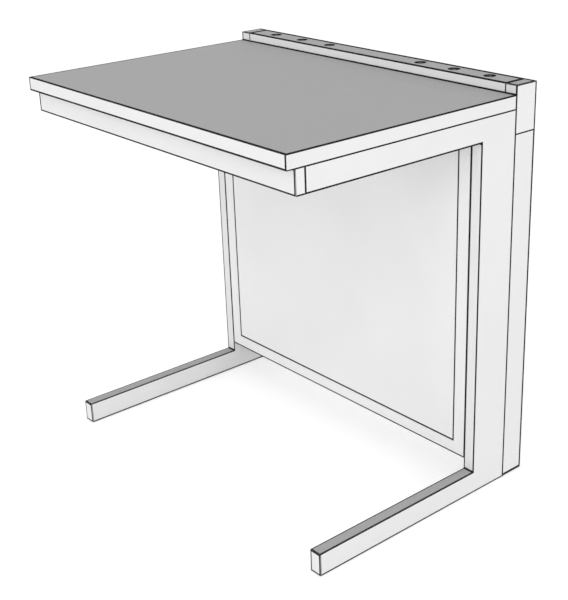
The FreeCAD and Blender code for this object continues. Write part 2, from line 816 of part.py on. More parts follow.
def rail_screws():
    neck = "sunk_length - sunk_head"
    screw = turned("rail_screw", [("0", "0"), ("sunk_radius", "0"), ("sunk_radius", neck),
                                  ("sunk_head_radius", "sunk_length"), ("0", "sunk_length")])
    places = [back_from(way, (at_x(side, SUNK_X), face, level), "sunk_length")
              for way, face in RAIL_FACES.values() for side in SIDES for level in SUNK_LEVELS]
    node("rail_screws", copies("rail_screws", screw, places))


def port_places():
    return [f"{step} * {PORT_PITCH}" for step in PORT_STEPS]


def port_plate():
    inset = "rail_sheet + fit_clearance"
    body = new_body("rail_port_plate")
    sketch = new_sketch(body, "XY_Plane")
    width = f"rail_depth - 2 * ({inset})"
    rectangle(sketch, "0", "0", RAIL_LENGTH, width)
    centres = [(f"{x} - {RAIL_LOW}", f"({width}) / 2") for x in port_places()]
    circles(sketch, centres, "port_radius + ferrule_wall + round_clearance")
    pad(body, sketch, "plate_thickness", "z")
    place(body, (RAIL_LOW, f"{Y_RAIL} + {inset}", f"{Z_RAIL} - plate_thickness"))
    seats = []
    for number, x in enumerate(port_places(), 1):
        spot = (x, f"{Y_RAIL} + rail_depth / 2", f"{Z_RAIL} - ring_thickness")
        seats.append(rod(f"ring_seat_{number}", "port_radius + ferrule_wall + ring_width + round_clearance",
                         "ring_thickness + overrun", spot, "+z"))
    node("rail_port_plate", drilled("rail_port_plate", body, seats))


def port_fittings():
    sleeve = "port_radius + ferrule_wall"
    lip = f"{sleeve} + ring_width"
    seat = "ferrule_tail + ferrule_lip"
    top = f"{seat} + plate_thickness"
    ferrule = turned("port_ferrule", [("port_radius", "0"), (sleeve, "0"), (sleeve, "ferrule_tail"),
                                      (lip, "ferrule_tail"), (lip, seat), (sleeve, seat), (sleeve, top),
                                      ("port_radius", top)])
    ring_low = f"{sleeve} + round_clearance"
    ring_high = f"{sleeve} + ring_width"
    ring = turned("port_ring", [(ring_low, "0"), (ring_high, "0"), (ring_high, "ring_thickness"),
                                (ring_low, "ring_thickness")])
    middle = f"{Y_RAIL} + rail_depth / 2"
    low = f"{Z_RAIL} - ({top})"
    node("port_ferrules", copies("port_ferrules", ferrule, [("+z", (x, middle, low)) for x in port_places()]))
    node("port_rings", copies("port_rings", ring, [("+z", (x, middle, f"{Z_RAIL} - ring_thickness"))
                                                   for x in port_places()]))


def end_block(side):
    label = f"{side}_end_block"
    corner_x = low_x(side, X_INNER, "tube_width")
    height = f"{RAIL_HEIGHT} - cover_thickness"
    shell = box(label + "_shell", ("tube_width", "rail_depth", height), (corner_x, Y_RAIL, "knee_height"))
    hollow = box(label + "_hollow", ("tube_width - block_wall + overrun", "rail_depth - 2 * block_wall",
                                     f"{height} - 2 * block_wall"),
                 (low_x(side, f"{X_INNER} - overrun", "tube_width - block_wall + overrun"),
                  f"{Y_RAIL} + block_wall", "knee_height + block_wall"))
    inset = "tube_wall + fit_clearance"
    spigot_size = (f"tube_width - 2 * ({inset})", f"rail_depth - 2 * ({inset})", "spigot_length")
    spigot = box(label + "_spigot", spigot_size,
                 (f"{corner_x} + {inset}", f"{Y_RAIL} + {inset}", "knee_height - spigot_length"))
    lug_size = ("lug_length + lug_root", "lug_thickness", "lug_height")
    lug_x = low_x(side, f"{X_INNER} - lug_length", "lug_length + lug_root")
    clear = "rail_sheet + fit_clearance"
    lugs, holes = [], []
    for kind, y in (("fascia", f"{Y_RAIL} + {clear}"), ("back", f"{Y_BACK} - ({clear}) - lug_thickness")):
        lugs.append(box(f"{label}_{kind}_lug", lug_size, (lug_x, y, "knee_height + lug_lift")))
        for number, level in enumerate(SUNK_LEVELS, 1):
            holes.append(wall_hole(f"{label}_{kind}_hole_{number}", "sunk_radius + round_clearance",
                                   "lug_thickness", (at_x(side, SUNK_X), y, level), "y"))
    whole = joined(label + "_whole", [drilled(label + "_cup", shell, [hollow]), spigot, *lugs])
    node(label, drilled(label, whole, holes))
    cover = box(f"{side}_end_cover", ("tube_width", "rail_depth", "cover_thickness"),
                (corner_x, Y_RAIL, f"{Z_RAIL} - cover_thickness"))
    node(f"{side}_end_cover", cover)


# Rear panel and its catches

def rear_panel():
    place_at = (f"-{X_INNER} + panel_gap", Y_UPRIGHT, "panel_floor_gap")
    ledge = "panel_border + panel_ledge"
    body = new_body("panel_frame_blank")
    sketch = new_sketch(body, "XZ_Plane")
    rectangle(sketch, "0", "0", PANEL_WIDTH, PANEL_HEIGHT)
    ledge_top = f"{PANEL_HEIGHT} - panel_top_border - panel_ledge"
    rectangle(sketch, ledge, ledge, f"{PANEL_WIDTH} - ({ledge})", ledge_top)
    pad(body, sketch, "panel_thickness", "y")
    place(body, place_at)
    opening = (f"{PANEL_WIDTH} - 2 * panel_border", f"{PANEL_HEIGHT} - panel_border - panel_top_border")
    inner = [f"{place_at[0]} + panel_border", f"{place_at[1]} - overrun", f"{place_at[2]} + panel_border"]
    rebate = box("panel_rebate", (opening[0], "rebate_depth + overrun", opening[1]), inner)
    node("panel_frame", drilled("panel_frame", body, [rebate]))
    infill = box("panel_infill", (f"{opening[0]} - 2 * gasket_width", "rebate_depth - infill_recess",
                                  f"{opening[1]} - 2 * gasket_width"),
                 (f"{inner[0]} + gasket_width", f"{Y_UPRIGHT} + infill_recess", f"{inner[2]} + gasket_width"))
    node("panel_infill", infill)
    seal = new_body("panel_gasket")
    seal_sketch = new_sketch(seal, "XZ_Plane")
    rectangle(seal_sketch, "0", "0", *opening)
    rectangle(seal_sketch, "gasket_width", "gasket_width", *(f"{size} - gasket_width" for size in opening))
    pad(seal, seal_sketch, "rebate_depth - gasket_recess", "y")
    place(seal, (inner[0], f"{Y_UPRIGHT} + gasket_recess", inner[2]))
    node("panel_gasket", seal)


def panel_catches():
    neck_top = "stud_base + stud_neck"
    head_low = f"{neck_top} + stud_taper"
    head_top = f"{head_low} + stud_head"
    stud = turned("panel_stud", [("0", "0"), ("stud_base_radius", "0"), ("stud_base_radius", "stud_base"),
                                 ("stud_neck_radius", "stud_base"), ("stud_neck_radius", neck_top),
                                 ("stud_head_radius", head_low), ("stud_head_radius", head_top),
                                 ("stud_neck_radius", f"{head_top} + stud_taper"),
                                 ("0", f"{head_top} + stud_taper")])
    bore = "stud_head_radius + round_clearance"
    sleeve = f"{bore} + socket_wall"
    socket = turned("catch_socket", [(bore, "0"), (f"{sleeve} + socket_flange_width", "0"),
                                     (f"{sleeve} + socket_flange_width", "socket_flange"),
                                     (sleeve, "socket_flange"), (sleeve, "socket_flange + socket_length"),
                                     (bore, "socket_flange + socket_length")])
    stud_x = f"{X_INNER} - panel_gap - panel_border / 2"
    stud_places, socket_places, brackets = [], [], []
    for side in SIDES:
        for row, level in CATCH_LEVELS.items():
            name = f"{side}_{row}_catch_bracket"
            x = at_x(side, stud_x)
            stud_places.append(("+y", (x, f"{Y_UPRIGHT} + panel_thickness", level)))
            socket_places.append(("+y", (x, f"{Y_CATCH} - socket_flange", level)))
            points = angle_outline("catch_leg", "catch_plate", side == "right", False)
            corner_x = low_x(side, f"{X_INNER} - catch_leg", "catch_leg")
            corner = (corner_x, Y_CATCH, f"{level} - catch_height / 2")
            blank = extrusion(name + "_blank", points, "z", "catch_height", corner)
            holes = [wall_hole(name + "_socket_hole", f"{sleeve} + round_clearance", "catch_plate",
                               (x, Y_CATCH, level), "y")]
            leg_x = low_x(side, f"{X_INNER} - catch_plate", "catch_plate")
            y = f"{Y_CATCH} + catch_screw_offset"
            for number, screw_level in enumerate(catch_screw_levels(row), 1):
                holes.append(wall_hole(f"{name}_hole_{number}", SCREW_HOLE, "catch_plate",
                                       (leg_x, y, screw_level), "x"))
                frame_screw_at(inward(side), (at_x(side, f"{X_INNER} - catch_plate"), y, screw_level))
            brackets.append(drilled(name, blank, holes))
    node("panel_studs", copies("panel_studs", stud, stud_places))
    node("catch_sockets", copies("catch_sockets", socket, socket_places))
    node("catch_brackets", group("catch_brackets", brackets))


# Levelling feet: a threaded insert in the foot, a spindle and a swivel pad

def levellers():
    inserts = []
    top = "foot_height - tube_wall - spindle_headroom"
    for side in SIDES:
        for row, middle in LEVELLERS.items():
            name = f"{row}_{side}"
            x = at_x(side, X_MIDDLE)
            low_side = f"{low_x(side, X_INNER, 'tube_width')} + tube_wall"
            block_size = ("tube_width - 2 * tube_wall", "insert_length", "insert_height")
            block = box(name + "_insert_blank", block_size,
                        (low_side, f"{middle} - insert_length / 2", "insert_level"))
            thread = wall_hole(name + "_thread", "spindle_radius + round_clearance", "insert_height",
                               (x, middle, "insert_level"), "z")
            inserts.append(drilled(name + "_insert", block, [thread]))
            pocket = "pivot_radius + round_clearance"
            pad_points = [("0", "0"), ("pad_radius - pad_chamfer", "0"), ("pad_radius", "pad_chamfer"),
                          ("pad_radius", "pad_height"), (pocket, "pad_height"), (pocket, "pad_floor"),
                          ("0", "pad_floor")]
            foot_pad = turned(name + "_leveller_pad", pad_points)
            place(foot_pad, (x, middle, "0"))
            node(name + "_leveller_pad", foot_pad)
            low = "pad_floor + round_clearance"
            shoulder = "pad_height + round_clearance"
            spindle = turned(name + "_spindle_rod",
                             [("0", low), ("pivot_radius", low), ("pivot_radius", shoulder),
                              ("spindle_radius", shoulder), ("spindle_radius", top), ("0", top)])
            place(spindle, (x, middle, "0"))
            collar = doc.addObject("Part::Prism", name + "_spindle_collar")
            collar.Polygon = 6
            bind(collar, "Circumradius", "collar_radius")
            bind(collar, "Height", "collar_height")
            place(collar, (x, middle, shoulder))
            node(name + "_leveller_spindle", joined(name + "_leveller_spindle", [spindle, collar]))
    node("leveller_inserts", group("leveller_inserts", inserts))


def build():
    foot_caps, post_caps = [], []
    for side in SIDES:
        foot_tube(side)
        upright_tube(side)
        arm_tube(side)
        foot_caps.append(foot_dressing(side))
        post_caps.append(rear_post(side))
        end_block(side)
    node("foot_caps", group("foot_caps", foot_caps))
    node("post_caps", group("post_caps", post_caps))
    apron()
    cross_rails()
    for kind in BRACKETS:
        corner_brackets(kind)
    worktop_brackets()
    worktop()
    post_fasteners()
    wall_bar()
    rail_walls()
    rail_screws()
    port_plate()
    port_fittings()
    rear_panel()
    panel_catches()
    levellers()
    node("frame_screws", copies("frame_screws", frame_screw, frame_screw_places))


def check():
    failed = [item.Name for item in doc.Objects if {"Invalid", "Error"} & set(item.State)]
    if failed:
        raise RuntimeError(f"failed objects: {failed}")
    for cut, blank in cuts:
        if not cut.Shape.Volume < blank.Shape.Volume:
            raise RuntimeError(f"{cut.Name} removes nothing")
    for label, item in nodes.items():
        if item.Shape.isNull() or not item.Shape.isValid() or not item.Shape.Solids:
            raise RuntimeError(f"{label} has no valid shape")


build()
doc.recompute()
check()
os.makedirs("parts", exist_ok=True)
for label, item in nodes.items():
    item.Shape.exportStep(f"parts/{label}.step")
print(f"{len(nodes)} nodes written")
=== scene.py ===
import bmesh
import bpy
import json
import math
from mathutils import Matrix, Vector


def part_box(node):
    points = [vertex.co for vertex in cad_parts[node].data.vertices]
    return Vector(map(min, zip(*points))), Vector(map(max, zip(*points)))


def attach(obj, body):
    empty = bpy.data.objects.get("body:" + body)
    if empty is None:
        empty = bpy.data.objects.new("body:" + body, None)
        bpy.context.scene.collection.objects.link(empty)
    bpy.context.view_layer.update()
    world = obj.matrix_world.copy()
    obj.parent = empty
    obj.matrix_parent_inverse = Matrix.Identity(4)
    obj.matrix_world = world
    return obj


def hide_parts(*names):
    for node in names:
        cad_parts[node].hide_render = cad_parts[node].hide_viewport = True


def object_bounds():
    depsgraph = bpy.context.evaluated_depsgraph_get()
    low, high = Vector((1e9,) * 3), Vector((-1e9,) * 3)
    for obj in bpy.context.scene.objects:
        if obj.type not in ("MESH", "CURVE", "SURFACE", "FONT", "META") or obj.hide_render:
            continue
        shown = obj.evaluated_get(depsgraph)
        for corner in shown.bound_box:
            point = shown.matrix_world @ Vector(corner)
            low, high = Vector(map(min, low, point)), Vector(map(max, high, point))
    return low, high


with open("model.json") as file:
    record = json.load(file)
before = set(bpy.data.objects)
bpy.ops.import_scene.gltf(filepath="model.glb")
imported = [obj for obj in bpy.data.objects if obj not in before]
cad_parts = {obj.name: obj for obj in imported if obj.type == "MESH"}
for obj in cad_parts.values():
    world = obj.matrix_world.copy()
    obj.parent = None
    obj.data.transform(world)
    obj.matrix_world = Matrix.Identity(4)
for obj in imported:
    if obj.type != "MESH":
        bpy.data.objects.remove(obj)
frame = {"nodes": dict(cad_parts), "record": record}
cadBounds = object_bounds()
sides = ("left", "right")
corners = ("front_left", "front_right", "rear_left", "rear_right")
print("frame loaded with", len(frame["nodes"]), "nodes")


class Wire:  # a shader value that takes Python operators
    def __init__(self, tree, socket):
        self.tree = tree
        self.socket = socket

    def maths(self, operation, first, second):
        return self.tree.node("ShaderNodeMath", {"operation": operation}, {0: first, 1: second})

    def __add__(self, other):
        return self.maths("ADD", self, other)

    def __sub__(self, other):
        return self.maths("SUBTRACT", self, other)

    def __rsub__(self, other):
        return self.maths("SUBTRACT", other, self)

    def __mul__(self, other):
        return self.maths("MULTIPLY", self, other)

    __radd__ = __add__
    __rmul__ = __mul__


class Nodes:  # a node tree, with one method that adds a node of any type
    def __init__(self, owner):
        owner.use_nodes = True
        self.owner = owner
        self.tree = owner.node_tree

    def feed(self, socket, value):
        if isinstance(value, Wire):
            self.tree.links.new(value.socket, socket)
        else:
            socket.default_value = value

    def node(self, kind, settings, sockets, output=0):
        made = self.tree.nodes.new(kind)
        for name, value in settings.items():
            setattr(made, name, value)
        for name, value in sockets.items():
            self.feed(made.inputs[name], value)
        return Wire(self, made.outputs[output])


def grey(tone, warm=0.0):
    return (tone * (1 + warm), tone, tone * (1 - warm), 1)


class Finish(Nodes):  # a procedural material on Object coordinates
    def __init__(self, name):
        super().__init__(bpy.data.materials.new(name))
        self.shader = self.tree.nodes["Principled BSDF"]
        self.place = self.node("ShaderNodeTexCoord", {}, {}, "Object")

    def noise(self, scale, detail=3.0, stretch=(1, 1, 1)):
        place = self.node("ShaderNodeMapping", {}, {"Vector": self.place, "Scale": stretch})
        return self.node("ShaderNodeTexNoise", {}, {"Vector": place, "Scale": scale, "Detail": detail})

    def spread(self, value, low, high):  # value between low and high, as 0 to 1
        return self.node("ShaderNodeMapRange", {}, {"Value": value, "From Min": low, "From Max": high})

    def blend(self, share, first, second):
        return self.node("ShaderNodeMix", {"data_type": "RGBA"}, {0: share, 6: first, 7: second}, 2)

    def between(self, value, first, second, low=0.3, high=0.7):  # a colour that follows a noise value
        return self.blend(self.spread(value, low, high), first, second)

    def surface(self, colour, roughness, height=None, depth=0.0, shine=0.5):
        self.feed(self.shader.inputs["Base Color"], colour)
        self.feed(self.shader.inputs["Roughness"], roughness)
        self.shader.inputs["Specular IOR Level"].default_value = shine
        if height:
            bump = self.node("ShaderNodeBump", {}, {"Strength": 1.0, "Distance": depth, "Height": height})
            self.feed(self.shader.inputs["Normal"], bump)
        return self


# Finishes: tone, dark and light are the colour as it should show, depth is the grain's relief in metres
coats = {
    "framePaint": {"tone": 0.84, "rough": 0.46, "grain": 700, "depth": 1.2e-4, "shine": 0.3},
    # a lighter copy of the frame paint, to cancel the shade on the rail fascia above the worktop: painted
    # light
    "railPaintWithPaintedLight": {"tone": 0.89, "rough": 0.46, "grain": 700, "depth": 1.2e-4, "shine": 0.3},
    "bandPlastic": {"tone": 0.84, "rough": 0.44, "grain": 1500, "depth": 5e-5, "shine": 0.3},
    "mouldedPlastic": {"tone": 0.86, "rough": 0.5, "grain": 1300, "depth": 1e-4, "shine": 0.3},
    # lacquer lifted above the frame paint to cancel the shade under the worktop: painted light
    "panelLacquerWithPaintedLight": {"tone": 0.88, "rough": 0.4, "grain": 400, "depth": 8e-5, "shine": 0.35},
    # end covers: a grey that stands in for the shade on upward faces, painted shade
    "coverGreyPaintedShade": {"tone": 0.39, "rough": 0.55, "grain": 1100, "depth": 1e-4, "shine": 0.25},
    # treads: a grey that stands in for the shade on the feet's upward faces (painted shade), lifted above
    # the covers' grey to cancel the shade under the worktop (painted light)
    "treadGreyPaintedShadeAndLight": {"tone": 0.47, "rough": 0.6, "grain": 900, "depth": 1.2e-4, "shine": 0.2},
    # port plate: a grey that stands in for the shade on the rail's upward face, painted shade
    "plateGreyPaintedShade": {"tone": 0.38, "rough": 0.5, "grain": 700, "depth": 1.2e-4, "shine": 0.25},
    "bracketPaint": {"tone": 0.66, "rough": 0.45, "grain": 700, "depth": 1.2e-4, "shine": 0.4},
}
coatMix = {"cloud": 5.0, "darker": 0.975, "lighter": 1.012, "lightest": 0.9, "cloudRough": 0.10,
           "speckFrom": 0.62, "speckTo": 0.8, "speckShare": 0.35, "speckTone": 0.88, "speckRough": 0.08}


def coated(name):
    look = coats[name]
    finish = Finish(name)
    cloud = finish.noise(coatMix["cloud"], 4.0)  # slow change of tone over the piece
    speck = finish.noise(look["grain"], 2.0)
    tone = look["tone"]
    lightest = min(tone * coatMix["lighter"], coatMix["lightest"])
    plain = finish.between(cloud, grey(tone * coatMix["darker"]), grey(lightest))
    specks = finish.spread(speck, coatMix["speckFrom"], coatMix["speckTo"]) * coatMix["speckShare"]
    fine = finish.blend(specks, plain, grey(tone * coatMix["speckTone"]))
    rough = look["rough"] + coatMix["cloudRough"] * (cloud - 0.5) + coatMix["speckRough"] * (speck - 0.5)
    return finish.surface(fine, rough, speck, look["depth"], look["shine"])


# the laminate's grey tone stands in for the shade on the worktop's upward face (painted shade); its flecks,
# fibres and scuffs are the laminate's own
laminateLook = {"dark": 0.380, "light": 0.400, "fleckTone": 0.33, "fleckShare": 0.55, "fibreTone": 0.45,
                "fibreShare": 0.40, "rough": 0.52, "cloudRough": 0.14, "scuffRough": 0.08, "depth": 5e-5,
                "shine": 0.25}


def laminateTop():
    look = laminateLook
    finish = Finish("laminateGreyPaintedShade")
    cloud = finish.noise(6.0, 5.0)
    fleck = finish.noise(420.0, 2.0)
    fibre = finish.noise(240.0, 3.0, (0.25, 1.0, 1.0))
    scuff = finish.spread(finish.noise(30.0, 6.0, (0.12, 1.0, 1.0)), 0.63, 0.72)
    base = finish.between(cloud, grey(look["dark"]), grey(look["light"]))
    flecks = finish.spread(fleck, 0.60, 0.70) * look["fleckShare"]
    fibres = finish.spread(fibre, 0.62, 0.72) * look["fibreShare"]
    flecked = finish.blend(flecks, base, grey(look["fleckTone"]))
    colour = finish.blend(fibres, flecked, grey(look["fibreTone"]))
    rough = look["rough"] + look["cloudRough"] * (cloud - 0.5) - look["scuffRough"] * scuff
    return finish.surface(colour, rough, fleck, look["depth"], look["shine"])


phenolicLook = {"dark": 0.018, "darkWarm": 0.10, "light": 0.045, "lightWarm": 0.12, "rough": 0.55,
                "layerRough": 0.1, "depth": 3e-5}


def laminateEdge():
    look = phenolicLook
    finish = Finish("phenolicEdge")  # dark paper layers of the laminate's cut edge
    layers = finish.noise(900.0, 2.0, (0.02, 0.02, 3.0))
    dark, light = grey(look["dark"], look["darkWarm"]), grey(look["light"], look["lightWarm"])
    colour = finish.between(layers, dark, light, 0.35, 0.65)
    rough = look["rough"] + look["layerRough"] * (layers - 0.5)
    return finish.surface(colour, rough, layers, look["depth"])


inkLook = {"dark": 0.020, "light": 0.036, "rough": 0.8, "wearRough": 0.1, "shine": 0.0}


def edgeInk():
    look = inkLook
    finish = Finish("edgeInk")  # the dark line along each edge, as drawn
    wear = finish.noise(60.0, 5.0)
    colour = finish.between(wear, grey(look["dark"]), grey(look["light"]), 0.35, 0.65)
    rough = look["rough"] + look["wearRough"] * (wear - 0.5)
    return finish.surface(colour, rough, shine=look["shine"])


rubberLook = {"dark": 0.012, "light": 0.030, "rough": 0.75, "bloomRough": 0.12, "depth": 5e-5, "shine": 0.0}


def sealRubber():
    look = rubberLook
    finish = Finish("sealRubber")
    bloom = finish.noise(45.0, 4.0)
    grain = finish.noise(1600.0, 2.0)
    colour = finish.between(bloom, grey(look["dark"]), grey(look["light"]), 0.35, 0.7)
    rough = look["rough"] + look["bloomRough"] * (bloom - 0.5)
    return finish.surface(colour, rough, grain, look["depth"], look["shine"])


nylonLook = {"dark": 0.035, "light": 0.085, "rough": 0.5, "scuffRough": 0.2, "depth": 5e-5}


def padNylon():
    look = nylonLook
    finish = Finish("padNylon")
    scuff = finish.noise(130.0, 5.0)
    grain = finish.noise(1400.0, 2.0)
    colour = finish.between(scuff, grey(look["dark"]), grey(look["light"]), 0.45, 0.75)
    rough = look["rough"] + look["scuffRough"] * (scuff - 0.5)
    return finish.surface(colour, rough, grain, look["depth"])


zincLook = {"dark": 0.56, "light": 0.70, "warm": 0.02, "rough": 0.33, "brushRough": 0.16, "depth": 3e-5}


def zincPlate():
    look = zincLook
    finish = Finish("zincPlate")
    cloud = finish.noise(120.0, 3.0)
    brush = finish.noise(900.0, 2.0, (1.0, 1.0, 0.1))
    colour = finish.between(cloud, grey(look["dark"], -look["warm"]), grey(look["light"], look["warm"]))
    finish.shader.inputs["Metallic"].default_value = 1.0
    rough = look["rough"] + look["brushRough"] * (brush - 0.5)
    return finish.surface(colour, rough, brush, look["depth"])


ferruleLook = {"dark": 0.80, "light": 0.86, "rough": 0.42, "cloudRough": 0.1, "depth": 4e-5}


def ferrulePlastic():
    look = ferruleLook
    finish = Finish("ferrulePlastic")
    grain = finish.noise(1500.0, 2.0)
    cloud = finish.noise(80.0, 3.0)
    colour = finish.between(cloud, grey(look["dark"]), grey(look["light"]))
    rough = look["rough"] + look["cloudRough"] * (cloud - 0.5)
    return finish.surface(colour, rough, grain, look["depth"])


backingLook = {"dark": 0.68, "light": 0.74, "warm": 0.015, "fibreTone": 0.60, "fibreWarm": 0.02,
               "fibreShare": 0.5, "rough": 0.6, "cloudRough": 0.1, "depth": 5e-5}


def backingSheet():
    look = backingLook
    finish = Finish("backingSheet")
    fibre = finish.noise(160.0, 4.0, (0.3, 1.0, 1.0))
    cloud = finish.noise(4.0, 4.0)
    base = finish.between(cloud, grey(look["dark"], look["warm"]), grey(look["light"], look["warm"]))
    fibres = finish.spread(fibre, 0.58, 0.75) * look["fibreShare"]
    colour = finish.blend(fibres, base, grey(look["fibreTone"], look["fibreWarm"]))
    rough = look["rough"] + look["cloudRough"] * (cloud - 0.5)
    return finish.surface(colour, rough, fibre, look["depth"])


boardLook = {"dark": (0.50, 0.36, 0.21, 1), "light": (0.66, 0.51, 0.33, 1), "chipScale": 220.0,
             "chipShare": 0.25, "rough": 0.8, "cloudRough": 0.1, "depth": 2e-4}


def particleBoard():
    look = boardLook
    finish = Finish("particleBoard")
    chipSockets = {"Vector": finish.place, "Scale": look["chipScale"]}
    chips = finish.node("ShaderNodeTexVoronoi", {}, chipSockets, "Color")
    cloud = finish.noise(30.0, 4.0)
    base = finish.between(cloud, look["dark"], look["light"])
    colour = finish.blend(look["chipShare"], base, chips)
    rough = look["rough"] + look["cloudRough"] * (cloud - 0.5)
    return finish.surface(colour, rough, cloud, look["depth"])


paint = {name: coated(name) for name in coats}
laminate = laminateTop()
phenolic = laminateEdge()
ink = edgeInk()
rubber = sealRubber()
nylon = padNylon()
zinc = zincPlate()
ferrule = ferrulePlastic()
print("finishes made")


# Shapes
sameWay = 0.999  # least cosine between a face's normal and the way that it should look
rimRoom = 4  # a face has a dark rim if it is wider than this many rims
mergeGap = 1e-6


def newShape():
    shape = bmesh.new()
    shape.faces.layers.float.new("edgeLine")
    return shape


def edgesAt(verts):  # each edge once, in the same order on every run
    return list(dict.fromkeys(edge for vert in verts for edge in vert.link_edges))


def roundEdges(shape, edges, size, segments=3, line=0.0):  # line is the dark rim's width, if there is one
    made = bmesh.ops.bevel(shape, geom=edges, offset=size, offset_type="OFFSET", segments=segments,
                           profile=0.5, affect="EDGES", clamp_overlap=True, material=-1)["faces"]
    if not line:
        return
    layer = shape.faces.layers.float["edgeLine"]
    for face in made:
        face[layer] = 1.0
    around = dict.fromkeys(face for rounded in made for edge in rounded.edges for face in edge.link_faces)
    wide = [face for face in around if face[layer] == 0.0
            and face.calc_area() / max(edge.calc_length() for edge in face.edges) > rimRoom * line]
    rims = bmesh.ops.inset_individual(shape, faces=wide, thickness=line, use_even_offset=True)["faces"]
    for face in rims:
        face[layer] = 1.0


def setRim(shape, facing, towards, width, keep=0.0, level=None, sliver=0.0002):
    # on faces that look one way, the dark rim along one side goes from width to keep, or loses its ink
    facing, towards = Vector(facing), Vector(towards)
    shape.normal_update()
    layer = shape.faces.layers.float["edgeLine"]
    if level is None:
        level = max(vert.co.dot(towards) for vert in shape.verts)
    for face in shape.faces:
        inwards = level - face.calc_center_median().dot(towards)
        if not face[layer] or face.normal.dot(facing) < sameWay or not 0.0 <= inwards < width:
            continue
        reach = {vert: vert.co.dot(towards) for vert in face.verts}
        outer = max(reach.values())
        for vert, place in reach.items():
            if outer - place > width / 2:
                vert.co += towards * (outer - place - max(keep, sliver))
        if not keep:
            face[layer] = 0.0


def slab(shape, low, high, edge, segments=3, line=0.0):
    verts = bmesh.ops.create_cube(shape, size=1.0)["verts"]
    bmesh.ops.scale(shape, vec=high - low, verts=verts)
    bmesh.ops.translate(shape, vec=(low + high) / 2, verts=verts)
    if edge:
        roundEdges(shape, edgesAt(verts), edge, segments, line)


def prism(shape, points, depth, edge=0.0, segments=3, line=0.0):
    verts = [shape.verts.new(point) for point in points]
    face = shape.faces.new(verts)
    made = bmesh.ops.extrude_face_region(shape, geom=[face])["geom"]
    moved = [item for item in made if isinstance(item, bmesh.types.BMVert)]
    bmesh.ops.translate(shape, vec=depth, verts=moved)
    bmesh.ops.recalc_face_normals(shape, faces=shape.faces)
    if edge:
        roundEdges(shape, edgesAt(verts + moved), edge, segments, line)
    return verts


def faceTowards(shape, direction):  # the largest face that looks that way, furthest out
    direction = Vector(direction)
    shape.normal_update()
    facing = [face for face in shape.faces if face.normal.dot(direction) > sameWay]

    def rank(face):
        return round(face.calc_area(), 6), face.calc_center_median().dot(direction)

    return max(facing, key=rank)


def circle(shape, centre, axis, radius, steps=40):
    turn = Vector((0, 0, 1)).rotation_difference(Vector(axis)).to_matrix().to_4x4()
    verts = bmesh.ops.create_circle(shape, cap_ends=False, segments=steps, radius=radius,
                                    matrix=Matrix.Translation(centre) @ turn)["verts"]
    return edgesAt(verts)


def levelRing(low, high, z):
    return [(low.x, low.y, z), (high.x, low.y, z), (high.x, high.y, z), (low.x, high.y, z)]


def frameOf(shape, points):
    verts = [shape.verts.new(point) for point in points]
    return [shape.edges.new((first, second)) for first, second in zip(verts, verts[1:] + verts[:1])]


def openFace(shape, face, loops):  # the face again, with these loops as holes in it
    face.normal_update()
    normal = face.normal.copy()
    rim = list(face.edges)
    bmesh.ops.delete(shape, geom=[face], context="FACES_ONLY")
    inner = [edge for loop in loops for edge in loop]
    bmesh.ops.triangle_fill(shape, use_beauty=True, edges=rim + inner, normal=normal)


def darkRim(shape, loop, line):  # a dark ring inside a hole's loop, and the smaller loop that it leaves
    lid = bmesh.ops.edgeloop_fill(shape, edges=loop)["faces"][0]
    layer = shape.faces.layers.float["edgeLine"]
    ring = bmesh.ops.inset_individual(shape, faces=[lid], thickness=line, use_even_offset=True)["faces"]
    for face in ring:
        face[layer] = 1.0
    left = list(lid.edges)
    bmesh.ops.delete(shape, geom=[lid], context="FACES_ONLY")
    return left


def rimmedHoles(shape, direction, spots, radius, line, steps=40):
    rims = [circle(shape, spot, direction, radius + line, steps) for spot in spots]
    openFace(shape, faceTowards(shape, direction), rims)
    return [darkRim(shape, rim, line) for rim in rims]


def sink(shape, loop, shift):  # walls from the loop, and a floor at their end
    made = bmesh.ops.extrude_edge_only(shape, edges=loop)["geom"]
    verts = [item for item in made if isinstance(item, bmesh.types.BMVert)]
    bmesh.ops.translate(shape, vec=shift, verts=verts)
    rim = [edge for edge in edgesAt(verts) if set(edge.verts) <= set(verts)]
    return bmesh.ops.edgeloop_fill(shape, edges=rim)["faces"][0]


def lathe(shape, profile, place, axis=(0, 0, 1), closed=False, steps=40):
    old = set(shape.verts)
    verts = [shape.verts.new((radius, 0, along)) for radius, along in profile]
    pairs = list(zip(verts, verts[1:])) + ([(verts[-1], verts[0])] if closed else [])
    edges = [shape.edges.new(pair) for pair in pairs]
    bmesh.ops.spin(shape, geom=verts + edges, cent=(0, 0, 0), axis=(0, 0, 1), angle=2 * math.pi,
                   steps=steps, use_merge=True)
    new = [vert for vert in shape.verts if vert not in old]
    bmesh.ops.remove_doubles(shape, verts=new, dist=mergeGap)
    new = [vert for vert in shape.verts if vert not in old]
    turn = Vector((0, 0, 1)).rotation_difference(Vector(axis)).to_matrix().to_4x4()
    bmesh.ops.transform(shape, matrix=Matrix.Translation(place) @ turn, verts=new)


def piece(name, shape, body, finishes, nodes, smooth=38.0):
    bmesh.ops.recalc_face_normals(shape, faces=shape.faces)
    layer = shape.faces.layers.float["edgeLine"]
    dark = [face for face in shape.faces if face[layer]]
    for face in dark:
        face.material_index = len(finishes)
    shape.faces.layers.float.remove(layer)
    mesh = bpy.data.meshes.new(name)
    shape.to_mesh(mesh)
    shape.free()
    for finish in finishes + ([ink] if dark else []):
        mesh.materials.append(finish.owner)
    mesh.shade_smooth()
    mesh.set_sharp_from_angle(angle=math.radians(smooth))
    made = bpy.data.objects.new(name, mesh)
    bpy.context.scene.collection.objects.link(made)
    flat = made.modifiers.new("flatFaces", "WEIGHTED_NORMAL")
    flat.keep_sharp = True
    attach(made, body)
    if nodes:
        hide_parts(*nodes)


def middle(node):
    low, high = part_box(node)
    return (low + high) / 2


